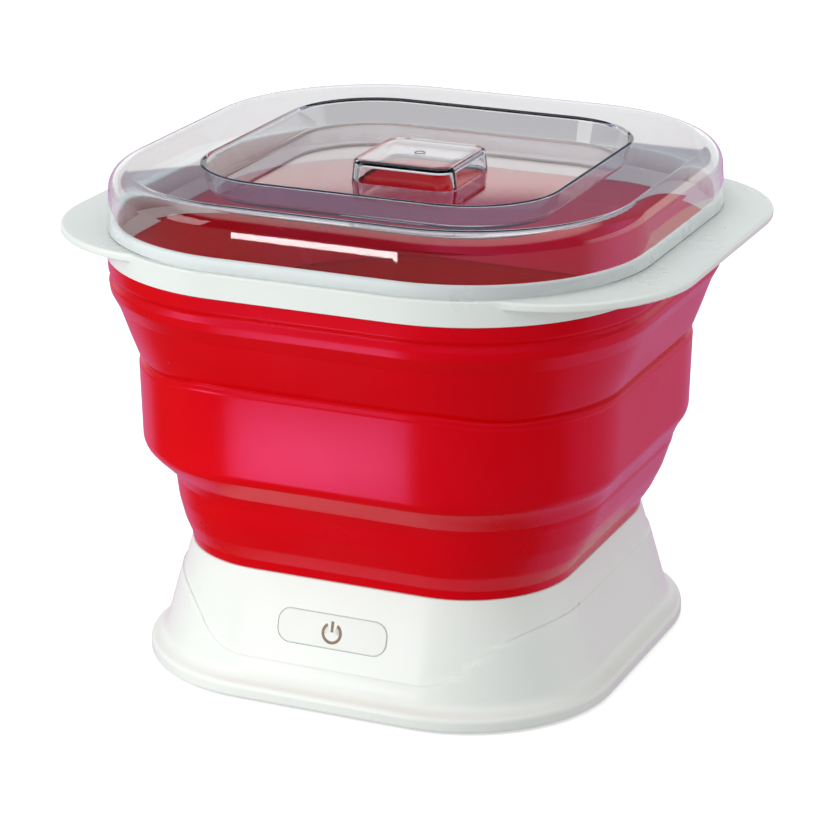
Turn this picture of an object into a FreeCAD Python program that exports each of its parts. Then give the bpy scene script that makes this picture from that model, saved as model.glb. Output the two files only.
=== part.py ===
"""Collapsible yogurt maker: silicone tub on a heated base, with a clear lid.

Frame: millimetres, +Z up, origin at the bottom centre. The button faces -Y and the lifting tabs
lie along X. Every horizontal section is a rounded square whose corner arcs share one centre, so
a wall is drawn once as (half width, height) corners and carried round the square.
"""
import FreeCAD, Part
import math
import os

V = FreeCAD.Vector
UP = V(0, 0, 1)

# ---------------------------------------------------------------- overall sizes
CORNER_CENTRE = 38.0        # corner arcs of every section are centred at (+-38, +-38)
FOOT_STAND = 1.5            # rubber feet below the casing
BASE_HEIGHT = 49.0          # casing bottom to deck
BASE_TOP_HALF = 83.4
RIM_HALF = 115.4            # lower edge of the rim's skirt
BAND_HALF = 103.5           # middle band of the tub
TUB_WALL = 2.4              # silicone thickness
BODY_GAP = 0.3              # between pieces on different moving bodies
CUT_MARGIN = 1.0            # how far a cutting shape runs past the surface it opens

# ---------------------------------------------------------------- base casing
CASING_WALL = 2.5
WALL_FLARE = 11.8           # sloped wall's spread from the deck to the flare
FLARE_HEIGHT = 7.2
FLANGE_REACH = 6.6
FLANGE_LIP = 5.0
FLANGE_WALL = 2.6
DECK_THICKNESS = 2.4
DECK_LEDGE = 5.2
SKIRT_PROUD = 0.8           # lower skirt stands proud of the upper panel
STEP_DROP = 12.0            # deck to the top of the proud skirt
BIB_BOTTOM = 14.8           # front panel dips to here
BIB_FLAT_HALF = 38.0
BIB_RADIUS = 30.0
BIB_TURN = math.radians(46)
BIB_TOP_MARGIN = 2.0
POST_RADIUS = 4.0
POST_TOP = 30.0

# ---------------------------------------------------------------- button, on the sloped front
BUTTON_HEIGHT_ON_BASE = 29.8
BUTTON_HALF_LENGTH = 24.0
BUTTON_HALF_WIDTH = 6.9
BUTTON_CORNER = 5.6
BUTTON_GAP = 0.35
BUTTON_PROUD = 0.3
BUTTON_EDGE = 0.4
BUTTON_TRAVEL = 0.8
BUTTON_FLANGE = 1.5
BUTTON_FLANGE_THICKNESS = 1.2
BUTTON_STEM_RADIUS = 3.0
BUTTON_STEM_LENGTH = 2.1
ICON_RADIUS = 3.9
ICON_LINE = 1.25
ICON_DROP = 0.6
ICON_SINK = 0.25

# ---------------------------------------------------------------- tub floor stack, from the deck down
CLAMP_OVERLAP = 2.2
CLAMP_WIDTH = 12.4
CLAMP_THICKNESS = 3.0
PLATE_GAP = 0.4
PLATE_THICKNESS = 2.0
STUD_RADIUS = 1.5
STUD_INSET = 2.2
STUD_SPREAD = 36.0
STUD_CLEARANCE = 0.3
STUD_TAIL = 0.8
HEATER_MARGIN = 6.0
HEATER_THICKNESS = 1.2
SHIELD_THICKNESS = 0.8
SHIELD_MARGIN = 3.8
NUT_ACROSS = 5.5
NUT_HEIGHT = 2.4
SENSOR_RADIUS = 4.0
SENSOR_HEIGHT = 4.0
SENSOR_CLEARANCE = 1.0
FUSE_RADIUS = 1.9
FUSE_LENGTH = 12.0
FUSE_X = 30.0

# ---------------------------------------------------------------- bottom cover, feet and screws
COVER_CLEARANCE = 0.4
COVER_HEADROOM = 0.1        # cover's top to the flange above it
COVER_LIFT = 0.4
FOOT_RADIUS = 9.0
FOOT_OFFSET = 58.0
FOOT_STEM_RADIUS = 2.9
FOOT_STEM_CLEARANCE = 0.1
FOOT_BARB_HEIGHT = 2.0
FOOT_BARB_PROUD = 0.7
FOOT_BARB_TAPER = 1.3
FOOT_EDGE = 0.5
FUSED_OVERLAP = 0.5         # how deep a stem sits in the body it is joined to
VENT_COUNT = 5
VENT_PITCH = 8.0
VENT_LENGTH = 44.0
VENT_WIDTH = 3.0
VENT_FROM_BOARD = 30.0
SCREW_RADIUS = 1.4
SCREW_HEAD_RADIUS = 2.8
SCREW_HEAD_HEIGHT = 1.4
SCREW_HOLE_CLEARANCE = 0.05
SCREW_CROSS_REACH = 1.6
SCREW_CROSS_HALF = 0.35
SCREW_CROSS_DEPTH = 0.7
SCREW_RECESS_GAP = 0.4
SCREW_PASS_GAP = 0.2
COVER_SCREW_LENGTH = 12.0
BOARD_SCREW_LENGTH = 6.0

# ---------------------------------------------------------------- mains inlet, at the rear
INLET_HEIGHT_ON_BASE = 22.0
INLET_HALF_WIDTH = 11.0
INLET_HALF_HEIGHT = 6.0
INLET_DEPTH = 22.0
INLET_PROUD = 0.8
INLET_BEZEL = 1.6
INLET_WALL = 1.6
INLET_FLOOR = 5.0
INLET_GAP = 0.15
PIN_RADIUS = 1.2
PIN_SPREAD = 4.3
PIN_LENGTH = 9.0
PIN_TAIL = 4.0

# ---------------------------------------------------------------- boards
BOARD_THICKNESS = 1.6
SWITCH_BOARD_HALF = 34.0
SWITCH_BOARD_LOW = -12.0
SWITCH_BOARD_HIGH = 8.0
SWITCH_SIZE = 6.0
SWITCH_HEIGHT = 3.5
PLUNGER_RADIUS = 1.7
PLUNGER_HEIGHT = 0.6
BOSS_SPREAD = 30.0
BOSS_RADIUS = 3.0
MAIN_BOARD_X = 36.0
MAIN_BOARD_Y = 24.0
MAIN_BOARD_CENTRE_Y = 10.0
STANDOFF_HEIGHT = 5.0
STANDOFF_RADIUS = 3.0
STANDOFF_INSET = 4.0
TRANSFORMER_SIZE = (22.0, 18.0, 16.0)
TRANSFORMER_X = -19.0
RELAY_SIZE = (19.0, 15.0, 15.0)
RELAY_PLACE = (21.5, -8.5)
CAPACITOR_RADIUS = 5.0
CAPACITOR_HEIGHT = 12.0
CAPACITOR_PLACE = (18.0, 12.0)
LEAD_RADIUS = 1.1
LEAD_BEND = 4.0
LEAD_INSET = 3.0
WINDING_INSET = 2.0
WINDING_PROUD = 3.0
WINDING_CORNER = 3.0

# ---------------------------------------------------------------- silicone tub, from the deck up
NECK_HEIGHT = 3.5
NECK_INSET = 0.2
LOWER_FOLD_HEIGHT = 27.0
LOWER_FOLD_SPREAD = 7.0     # lower web's spread from the neck to the band
BAND_HEIGHT = 52.1
BAND_SHOULDER_INSET = 10.5
BAND_SHOULDER_RISE = 3.4
BAND_SIDE_RISE = 14.0
UPPER_FOLD_HEIGHT = 20.6
COLLAR_HEIGHT = 20.8
COLLAR_FOOT_INSET = 4.5
COLLAR_PROFILE = (           # inset from the rim, share of the collar's height, corner radius
    (0.2, 0.0, 0.4),
    (0.4, 0.28, 1.5),
    (1.9, 0.39, 1.5),
    (0.5, 0.51, 1.5),
    (1.2, 0.72, 2.0),
)
COLLAR_INSIDE_SHARE = 0.66
COLLAR_INSIDE_RADIUS = 2.0
COLLAR_INSIDE_DROP = 4.0
TONGUE_THICKNESS = 1.3
BAND_EDGE_INSET = 0.5
BAND_EDGE_DROP = 2.6
BAND_SIDE_INSET = 0.8
BAND_FOOT_PROUD = 0.2
UPPER_BELLY_PROUD = 0.9
UPPER_BELLY_RISE = 3.0
UPPER_BELLY_RADIUS = 30.0
LOWER_BELLY_SHARE = 0.25
LOWER_BELLY_RADIUS = 25.0
NECK_LIP_INSET = 0.6

# ---------------------------------------------------------------- rim
RIM_DEPTH = 10.5
RIM_SKIRT_WALL = 2.0
RIM_FLARE = 0.8
TAB_THICKNESS = 3.5
TAB_REACH = 19.6
TAB_SHOULDER = 10.4
TAB_CORNER = 60.0
TAB_EDGE = 1.2
UPSTAND_HEIGHT = 5.3
UPSTAND_WALL = 2.5
RIM_RING_WALL = 1.5
RIM_RING_DROP = 1.0
RIM_CLEARANCE = 0.1

# ---------------------------------------------------------------- lid
LID_INSET = 0.4
LID_WALL = 1.7
LID_FIT = 0.4
LID_HEIGHT = 26.2
LID_DRAFT = 1.5
LID_SHOULDER_RADIUS = 8.5
LID_SHOULDER_DROP = 1.7
WELL_HALF = 74.6
WELL_DEPTH = 11.0
WELL_DRAFT = 2.8
KNOB_HALF = 23.2
KNOB_HEIGHT = 9.0
KNOB_DRAFT = 1.0
KNOB_EDGE = 1.6
KNOB_CORNER_CENTRE = 15.0
KNOB_WALL = 2.2
GATE_RADIUS = 2.4
GATE_LINE = 0.8
GATE_HEIGHT = 0.3
LID_LIP_EDGE = 0.5
WELL_EDGE = 1.6
WELL_UNDER_RADIUS = 3.2


# ================================================================ drawing helpers
def rounded_outline(corners, place):
    """Closed wire through corners (u, v, radius), set in space by place(u, v)."""
    spans = []
    count = len(corners)
    for i, (u, v, radius) in enumerate(corners):
        here = V(u, v, 0)
        if radius == 0:
            spans.append((here, here, here))
            continue
        before = V(corners[i - 1][0], corners[i - 1][1], 0) - here
        after = V(corners[(i + 1) % count][0], corners[(i + 1) % count][1], 0) - here
        before.normalize()
        after.normalize()
        half = before.getAngle(after) / 2
        middle = before + after
        middle.normalize()
        reach = radius / math.tan(half)
        bow = radius / math.sin(half) - radius
        spans.append((here + before * reach, here + middle * bow, here + after * reach))
    edges = []
    for i, (start, bend, end) in enumerate(spans):
        if start.distanceToPoint(end) > 1e-6:
            edges.append(Part.Arc(place(start.x, start.y), place(bend.x, bend.y),
                                  place(end.x, end.y)).toShape())
        following = spans[(i + 1) % count][0]
        if end.distanceToPoint(following) > 1e-6:
            edges.append(Part.makeLine(place(end.x, end.y), place(following.x, following.y)))
    return Part.Wire(edges)


def fused(shapes):
    """One clean shape from several that meet or overlap."""
    return shapes[0].multiFuse(shapes[1:]).removeSplitter()


def carried_round(corners, centre=CORNER_CENTRE):
    """Wall section (half width, height, radius) carried round a rounded square."""
    straight = Part.Face(rounded_outline(corners, lambda u, v: V(u, -centre, v)))
    side = straight.extrude(V(0, 2 * centre, 0))
    at_corner = Part.Face(rounded_outline(corners, lambda u, v: V(u, centre, v)))
    corner = at_corner.revolve(V(centre, centre, 0), UP, 90)
    pieces = []
    for quarter in range(4):
        for piece in (side, corner):
            turned = piece.copy()
            turned.rotate(V(0, 0, 0), UP, 90 * quarter)
            pieces.append(turned)
    return fused(pieces)


def square_slab(half, low, high, centre=CORNER_CENTRE):
    """Flat rounded-square slab between two heights."""
    return rounded_slab(half, half, half - centre, low, high)


def rounded_slab(half_x, half_y, radius, low, high):
    """Flat rounded rectangle between two heights."""
    corners = [(half_x, half_y, radius), (-half_x, half_y, radius),
               (-half_x, -half_y, radius), (half_x, -half_y, radius)]
    face = Part.Face(rounded_outline(corners, lambda u, v: V(u, v, low)))
    return face.extrude(V(0, 0, high - low))


def filled(outer, low, high, centre=CORNER_CENTRE):
    """Solid rounded square whose side is the corners in outer, filled to its middle."""
    shell = carried_round([(centre, low, 0)] + outer + [(centre, high, 0)], centre)
    core = Part.makeBox(2 * centre, 2 * centre, high - low, V(-centre, -centre, low))
    return fused([shell, core])


def lifted(shape):
    """Set a shape drawn above the casing's bottom at its height above the table."""
    return shape.translated(V(0, 0, FOOT_STAND))


def disc(x, y, low, radius, height):
    return Part.makeCylinder(radius, height, V(x, y, low))


def box(x0, x1, y0, y1, z0, z1):
    return Part.makeBox(x1 - x0, y1 - y0, z1 - z0, V(x0, y0, z0))


def four_corners(offset_x, offset_y):
    return [(sx * offset_x, sy * offset_y) for sx in (1, -1) for sy in (1, -1)]


# ================================================================ shared derived values
BASE_FOOT_HALF = BASE_TOP_HALF + WALL_FLARE
FLANGE_HALF = BASE_FOOT_HALF + FLANGE_REACH
STEP_HEIGHT = BASE_HEIGHT - STEP_DROP
SLOPE = WALL_FLARE / (BASE_HEIGHT - FLARE_HEIGHT)
LEAN = math.degrees(math.atan(SLOPE))
WALL_NORMAL = CASING_WALL * math.cos(math.atan(SLOPE))

DECK_INNER_HALF = BASE_TOP_HALF - DECK_LEDGE
LIP_INNER_HALF = DECK_INNER_HALF - TUB_WALL
CLAMP_OUTER_HALF = DECK_INNER_HALF + CLAMP_OVERLAP
CLAMP_INNER_HALF = CLAMP_OUTER_HALF - CLAMP_WIDTH
CLAMP_TOP = BASE_HEIGHT - DECK_THICKNESS - TUB_WALL
CLAMP_BOTTOM = CLAMP_TOP - CLAMP_THICKNESS
PLATE_HALF = LIP_INNER_HALF - PLATE_GAP
PLATE_BOTTOM = BASE_HEIGHT - DECK_THICKNESS
HEATER_HALF = CLAMP_INNER_HALF - HEATER_MARGIN
STUD_OFFSET = PLATE_HALF - STUD_INSET
SHIELD_HALF = STUD_OFFSET + SHIELD_MARGIN
SHIELD_BOTTOM = CLAMP_BOTTOM - SHIELD_THICKNESS
STUDS = ([(sx * STUD_SPREAD, sy * STUD_OFFSET) for sx in (1, -1) for sy in (1, -1)]
         + [(sx * STUD_OFFSET, sy * STUD_SPREAD) for sx in (1, -1) for sy in (1, -1)])

BUTTON_FLANGE_DEPTH = WALL_NORMAL + BODY_GAP
STEM_TIP = BUTTON_FLANGE_DEPTH + BUTTON_FLANGE_THICKNESS + BUTTON_STEM_LENGTH
PLUNGER_TIP = STEM_TIP + BUTTON_TRAVEL + BODY_GAP
BOARD_DEPTH = PLUNGER_TIP + PLUNGER_HEIGHT + SWITCH_HEIGHT

COVER_TOP = FLANGE_LIP - FLANGE_WALL - COVER_HEADROOM
COVER_THICKNESS = COVER_TOP - COVER_LIFT
STANDOFFS = [(x, y + MAIN_BOARD_CENTRE_Y)
             for x, y in four_corners(MAIN_BOARD_X - STANDOFF_INSET, MAIN_BOARD_Y - STANDOFF_INSET)]
BOARD_BOTTOM = COVER_TOP + STANDOFF_HEIGHT
BOARD_TOP = BOARD_BOTTOM + BOARD_THICKNESS

NECK_HALF = BASE_TOP_HALF - NECK_INSET
NECK_TOP = BASE_HEIGHT + NECK_HEIGHT
LOWER_FOLD_TOP = NECK_TOP + LOWER_FOLD_HEIGHT
LOWER_FOLD_HALF = NECK_HALF + LOWER_FOLD_SPREAD
UPPER_FOLD_BOTTOM = LOWER_FOLD_TOP + BAND_HEIGHT
UPPER_FOLD_TOP = UPPER_FOLD_BOTTOM + UPPER_FOLD_HEIGHT
COLLAR_FOOT_HALF = RIM_HALF - COLLAR_FOOT_INSET
SKIRT_BOTTOM = UPPER_FOLD_TOP + COLLAR_HEIGHT
DECK_TOP = SKIRT_BOTTOM + RIM_DEPTH
UNDER_DECK = DECK_TOP - TAB_THICKNESS
UPSTAND_TOP = DECK_TOP + UPSTAND_HEIGHT
RIM_RING_BOTTOM = SKIRT_BOTTOM - RIM_RING_DROP

LID_HALF = RIM_HALF - LID_INSET
LID_LIP = DECK_TOP + BODY_GAP
LID_TOP = LID_LIP + LID_HEIGHT
LID_SHOULDER_TOP = LID_TOP - LID_SHOULDER_DROP
WELL_FLOOR = LID_TOP - WELL_DEPTH
WELL_FLOOR_HALF = WELL_HALF - WELL_DRAFT
KNOB_TOP = WELL_FLOOR + KNOB_HEIGHT
UPSTAND_HALF = LID_HALF - LID_WALL - LID_FIT
UPSTAND_INNER_HALF = UPSTAND_HALF - UPSTAND_WALL


def wall_half(height):
    """Half width of the casing's sloped upper surface at a height above its bottom."""
    return BASE_TOP_HALF + SLOPE * (BASE_HEIGHT - height)


POST_OFFSET = CORNER_CENTRE + (wall_half(POST_TOP) - CASING_WALL - CORNER_CENTRE) / math.sqrt(2)


def on_front(shape):
    """Place a shape drawn flat (x along, y up the slope, z outwards) on the front panel."""
    set_down = shape.copy()
    place = FreeCAD.Placement(V(0, -wall_half(BUTTON_HEIGHT_ON_BASE), BUTTON_HEIGHT_ON_BASE),
                              FreeCAD.Rotation(V(1, 0, 0), 90 - LEAN))
    set_down.Placement = place.multiply(set_down.Placement)
    return set_down


# ================================================================ base casing
def casing_envelope(proud):
    """Outside of the casing as a solid, with or without the proud skirt."""
    step_half = wall_half(STEP_HEIGHT)
    side = [(FLANGE_HALF, 0, 0.4), (FLANGE_HALF, FLANGE_LIP, 2.4)]
    if proud:
        side.append((BASE_FOOT_HALF + SKIRT_PROUD, FLARE_HEIGHT, 7.0))
        side.append((step_half + SKIRT_PROUD, STEP_HEIGHT, 0.3))
        side.append((wall_half(STEP_HEIGHT + SKIRT_PROUD), STEP_HEIGHT + SKIRT_PROUD, 0))
    else:
        side.append((BASE_FOOT_HALF, FLARE_HEIGHT, 7.0))
    side.append((BASE_TOP_HALF, BASE_HEIGHT, 0.8))
    return filled(side, 0, BASE_HEIGHT)


def casing_hollow():
    """Space inside the casing, open at the bottom."""
    ceiling = BASE_HEIGHT - DECK_THICKNESS
    flare_inside = FLARE_HEIGHT - FLANGE_WALL
    side = [(FLANGE_HALF - FLANGE_WALL, -1, 0),
            (FLANGE_HALF - FLANGE_WALL, FLANGE_LIP - FLANGE_WALL, 0.5),
            (wall_half(flare_inside) - CASING_WALL, flare_inside, 4.0),
            (wall_half(ceiling) - CASING_WALL, ceiling, 0)]
    return filled(side, -1, ceiling)


def bib_prism():
    """Front-panel outline through the front wall: flat bottom and two S-shaped sides."""
    rise = BIB_RADIUS * (1 - math.cos(BIB_TURN))
    upper_radius = (STEP_HEIGHT - BIB_BOTTOM - rise) / (1 - math.cos(BIB_TURN))
    join_x = BIB_FLAT_HALF + BIB_RADIUS * math.sin(BIB_TURN)
    join_z = BIB_BOTTOM + rise
    end_x = join_x + upper_radius * math.sin(BIB_TURN)
    top = BASE_HEIGHT - BIB_TOP_MARGIN

    def arc_point(angle, lower):
        if lower:
            return (BIB_FLAT_HALF + BIB_RADIUS * math.sin(angle),
                    BIB_BOTTOM + BIB_RADIUS * (1 - math.cos(angle)))
        return (end_x - upper_radius * math.sin(angle),
                STEP_HEIGHT - upper_radius * (1 - math.cos(angle)))

    def at(x, z):
        return V(x, -FLANGE_HALF - 10, z)

    edges = [Part.makeLine(at(-BIB_FLAT_HALF, BIB_BOTTOM), at(BIB_FLAT_HALF, BIB_BOTTOM))]
    for side in (1, -1):
        low_mid = arc_point(BIB_TURN / 2, True)
        high_mid = arc_point(BIB_TURN / 2, False)
        edges.append(Part.Arc(at(side * BIB_FLAT_HALF, BIB_BOTTOM), at(side * low_mid[0], low_mid[1]),
                              at(side * join_x, join_z)).toShape())
        edges.append(Part.Arc(at(side * join_x, join_z), at(side * high_mid[0], high_mid[1]),
                              at(side * end_x, STEP_HEIGHT)).toShape())
        edges.append(Part.makeLine(at(side * end_x, STEP_HEIGHT), at(side * end_x, top)))
    edges.append(Part.makeLine(at(-end_x, top), at(end_x, top)))
    outline = Part.Wire(Part.__sortEdges__(edges))
    return Part.Face(outline).extrude(V(0, FLANGE_HALF + 10 - CORNER_CENTRE, 0))


def button_outline(grow, low, high):
    return rounded_slab(BUTTON_HALF_LENGTH + grow, BUTTON_HALF_WIDTH + grow,
                        BUTTON_CORNER + grow, low, high)


def inlet_block(grow, start, end):
    """Stadium prism along Y at the rear, between two distances from the middle."""
    half_x = INLET_HALF_WIDTH + grow
    half_z = INLET_HALF_HEIGHT + grow
    block = rounded_slab(half_x, half_z, half_z - 0.01, 0, end - start)
    block.rotate(V(0, 0, 0), V(1, 0, 0), -90)
    return block.translated(V(0, start, INLET_HEIGHT_ON_BASE))


def base_casing():
    body = casing_envelope(True).cut(casing_hollow())
    body = body.cut(bib_prism().cut(casing_envelope(False)))
    bosses = []
    for x, y in four_corners(POST_OFFSET, POST_OFFSET):
        bosses.append(disc(x, y, COVER_TOP, POST_RADIUS, POST_TOP - COVER_TOP))
    for side in (1, -1):
        reach = BOARD_DEPTH - WALL_NORMAL / 2
        boss = disc(side * BOSS_SPREAD, 0, -BOARD_DEPTH, BOSS_RADIUS, reach)
        bosses.append(on_front(boss))
    body = fused([body] + [boss.common(casing_envelope(False)) for boss in bosses])
    body = body.cut(square_slab(DECK_INNER_HALF, BASE_HEIGHT - DECK_THICKNESS - CUT_MARGIN,
                                BASE_HEIGHT + CUT_MARGIN))
    body = body.cut(on_front(button_outline(BUTTON_GAP, -WALL_NORMAL - 3, 5)))
    rear = wall_half(INLET_HEIGHT_ON_BASE)
    body = body.cut(inlet_block(INLET_GAP, rear - 12, rear + 12))
    for x, y in four_corners(POST_OFFSET, POST_OFFSET):
        hole = disc(x, y, COVER_TOP - CUT_MARGIN, SCREW_RADIUS + SCREW_HOLE_CLEARANCE,
                    COVER_SCREW_LENGTH + 2 * CUT_MARGIN)
        body = body.cut(hole)
    for side in (1, -1):
        hole = disc(side * BOSS_SPREAD, 0, -BOARD_DEPTH - CUT_MARGIN,
                    SCREW_RADIUS + SCREW_HOLE_CLEARANCE, BOARD_SCREW_LENGTH + CUT_MARGIN)
        body = body.cut(on_front(hole))
    return lifted(body)


# ================================================================ base contents
def bottom_cover():
    plate = square_slab(FLANGE_HALF - FLANGE_WALL - COVER_CLEARANCE, COVER_LIFT, COVER_TOP)
    standoffs = [disc(x, y, COVER_LIFT, STANDOFF_RADIUS, BOARD_BOTTOM - COVER_LIFT)
                 for x, y in STANDOFFS]
    body = fused([plate] + standoffs)
    for x, y in STANDOFFS:
        hole = disc(x, y, COVER_LIFT + CUT_MARGIN, SCREW_RADIUS + SCREW_HOLE_CLEARANCE, BOARD_BOTTOM)
        body = body.cut(hole)
    for x, y in four_corners(POST_OFFSET, POST_OFFSET):
        hole = disc(x, y, COVER_LIFT - CUT_MARGIN, SCREW_RADIUS + SCREW_HOLE_CLEARANCE,
                    COVER_THICKNESS + 2 * CUT_MARGIN)
        body = body.cut(hole)
        recess = disc(x, y, COVER_LIFT - CUT_MARGIN, SCREW_HEAD_RADIUS + SCREW_RECESS_GAP,
                      CUT_MARGIN + SCREW_HEAD_HEIGHT)
        body = body.cut(recess)
    for x, y in four_corners(FOOT_OFFSET, FOOT_OFFSET):
        hole = disc(x, y, COVER_LIFT - CUT_MARGIN, FOOT_STEM_RADIUS + FOOT_STEM_CLEARANCE,
                    COVER_THICKNESS + 2 * CUT_MARGIN)
        body = body.cut(hole)
    for row in range(VENT_COUNT):
        middle = -MAIN_BOARD_CENTRE_Y - VENT_FROM_BOARD - VENT_PITCH * (row - (VENT_COUNT - 1) / 2)
        slot = rounded_slab(VENT_LENGTH / 2, VENT_WIDTH / 2, VENT_WIDTH / 2 - 0.01,
                            COVER_LIFT - CUT_MARGIN, COVER_TOP + CUT_MARGIN)
        body = body.cut(slot.translated(V(0, middle, 0)))
    return lifted(body)


def rubber_feet():
    feet = []
    for x, y in four_corners(FOOT_OFFSET, FOOT_OFFSET):
        pad = disc(x, y, -FOOT_STAND, FOOT_RADIUS, FOOT_STAND + COVER_LIFT)
        pad = pad.makeFillet(FOOT_EDGE, [e for e in pad.Edges if e.BoundBox.ZMax < -FOOT_STAND + 0.01])
        stem = disc(x, y, COVER_LIFT - FUSED_OVERLAP, FOOT_STEM_RADIUS, COVER_THICKNESS + FUSED_OVERLAP)
        barb_radius = FOOT_STEM_RADIUS + FOOT_BARB_PROUD
        barb = Part.makeCone(barb_radius, barb_radius - FOOT_BARB_TAPER,
                             FOOT_BARB_HEIGHT, V(x, y, COVER_TOP))
        feet.append(fused([pad, stem, barb]))
    return lifted(Part.makeCompound(feet))


def pan_screw(x, y, seat, length, direction):
    """Screw whose head rests on seat and whose shank points along direction (+1 up, -1 down)."""
    head_low = seat - SCREW_HEAD_HEIGHT if direction > 0 else seat
    shank_low = seat if direction > 0 else seat - length
    head = disc(x, y, head_low, SCREW_HEAD_RADIUS, SCREW_HEAD_HEIGHT)
    slot_low = head_low if direction > 0 else head_low + SCREW_HEAD_HEIGHT - SCREW_CROSS_DEPTH
    body = fused([head, disc(x, y, shank_low, SCREW_RADIUS, length)])
    for half_x, half_y in ((SCREW_CROSS_REACH, SCREW_CROSS_HALF), (SCREW_CROSS_HALF, SCREW_CROSS_REACH)):
        body = body.cut(box(x - half_x, x + half_x, y - half_y, y + half_y,
                            slot_low, slot_low + SCREW_CROSS_DEPTH))
    return body


def cover_screws():
    seat = COVER_LIFT + SCREW_HEAD_HEIGHT
    return lifted(Part.makeCompound([pan_screw(x, y, seat, COVER_SCREW_LENGTH, 1)
                                     for x, y in four_corners(POST_OFFSET, POST_OFFSET)]))


def stud_hole(x, y, low, height):
    return disc(x, y, low - CUT_MARGIN, STUD_RADIUS + STUD_CLEARANCE, height + 2 * CUT_MARGIN)


def clamp_ring():
    body = carried_round([(CLAMP_INNER_HALF, CLAMP_BOTTOM, 0), (CLAMP_OUTER_HALF, CLAMP_BOTTOM, 0.6),
                          (CLAMP_OUTER_HALF, CLAMP_TOP, 0.6), (CLAMP_INNER_HALF, CLAMP_TOP, 0)])
    for x, y in STUDS:
        body = body.cut(stud_hole(x, y, CLAMP_BOTTOM, CLAMP_THICKNESS))
    return lifted(body)


def clamp_nuts():
    nuts = []
    for x, y in STUDS:
        corner_radius = NUT_ACROSS / math.sqrt(3)
        points = [V(x + corner_radius * math.cos(math.radians(60 * k)),
                    y + corner_radius * math.sin(math.radians(60 * k)), SHIELD_BOTTOM)
                  for k in range(7)]
        nut = Part.Face(Part.makePolygon(points)).extrude(V(0, 0, -NUT_HEIGHT))
        bore = disc(x, y, SHIELD_BOTTOM - NUT_HEIGHT - CUT_MARGIN, STUD_RADIUS + SCREW_HOLE_CLEARANCE,
                    NUT_HEIGHT + 2 * CUT_MARGIN)
        nuts.append(nut.cut(bore))
    return lifted(Part.makeCompound(nuts))


def heater_plate():
    """Tub floor with studs for the clamp nuts on its underside."""
    plate = filled([(PLATE_HALF, PLATE_BOTTOM, 0.3), (PLATE_HALF, PLATE_BOTTOM + PLATE_THICKNESS, 0.8)],
                   PLATE_BOTTOM, PLATE_BOTTOM + PLATE_THICKNESS)
    stud_length = PLATE_BOTTOM - SHIELD_BOTTOM + NUT_HEIGHT + STUD_TAIL
    studs = [disc(x, y, PLATE_BOTTOM - stud_length, STUD_RADIUS, stud_length + FUSED_OVERLAP)
             for x, y in STUDS]
    return lifted(fused([plate] + studs))


def under_plate_layer(half, low, high):
    """Flat layer under the plate, open round the sensor and the fuse."""
    layer = square_slab(half, low, high)
    layer = layer.cut(disc(0, 0, low - CUT_MARGIN, SENSOR_RADIUS + SENSOR_CLEARANCE,
                           high - low + 2 * CUT_MARGIN))
    return layer.cut(box(FUSE_X - FUSE_LENGTH / 2 - SENSOR_CLEARANCE,
                         FUSE_X + FUSE_LENGTH / 2 + SENSOR_CLEARANCE,
                         -FUSE_RADIUS - SENSOR_CLEARANCE, FUSE_RADIUS + SENSOR_CLEARANCE,
                         low - CUT_MARGIN, high + CUT_MARGIN))


def heating_element():
    return lifted(under_plate_layer(HEATER_HALF, PLATE_BOTTOM - HEATER_THICKNESS, PLATE_BOTTOM))


def insulation_pad():
    return lifted(under_plate_layer(HEATER_HALF, CLAMP_BOTTOM, PLATE_BOTTOM - HEATER_THICKNESS))


def heat_shield():
    body = square_slab(SHIELD_HALF, SHIELD_BOTTOM, CLAMP_BOTTOM)
    for x, y in STUDS:
        body = body.cut(stud_hole(x, y, SHIELD_BOTTOM, SHIELD_THICKNESS))
    body = body.cut(disc(0, 0, SHIELD_BOTTOM - CUT_MARGIN, SENSOR_RADIUS / 2,
                         SHIELD_THICKNESS + 2 * CUT_MARGIN))
    return lifted(body)


def thermistor():
    bead = disc(0, 0, PLATE_BOTTOM - SENSOR_HEIGHT, SENSOR_RADIUS, SENSOR_HEIGHT)
    return lifted(bead.makeFillet(0.6, [e for e in bead.Edges
                                        if e.BoundBox.ZMax < PLATE_BOTTOM - SENSOR_HEIGHT + 0.01]))


def thermal_fuse():
    return lifted(Part.makeCylinder(FUSE_RADIUS, FUSE_LENGTH,
                                    V(FUSE_X - FUSE_LENGTH / 2, 0, PLATE_BOTTOM - FUSE_RADIUS - 0.05),
                                    V(1, 0, 0)))


def main_board():
    body = box(-MAIN_BOARD_X, MAIN_BOARD_X, MAIN_BOARD_CENTRE_Y - MAIN_BOARD_Y,
               MAIN_BOARD_CENTRE_Y + MAIN_BOARD_Y, BOARD_BOTTOM, BOARD_TOP)
    for x, y in STANDOFFS:
        body = body.cut(disc(x, y, BOARD_BOTTOM - CUT_MARGIN, SCREW_RADIUS + SCREW_PASS_GAP,
                             BOARD_THICKNESS + 2 * CUT_MARGIN))
    return lifted(body)


def board_screws():
    screws = [lifted(pan_screw(x, y, BOARD_TOP, BOARD_SCREW_LENGTH, -1)) for x, y in STANDOFFS]
    for side in (1, -1):
        screw = pan_screw(side * BOSS_SPREAD, 0, -BOARD_DEPTH - BOARD_THICKNESS, BOARD_SCREW_LENGTH, 1)
        screws.append(lifted(on_front(screw)))
    return Part.makeCompound(screws)


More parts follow.
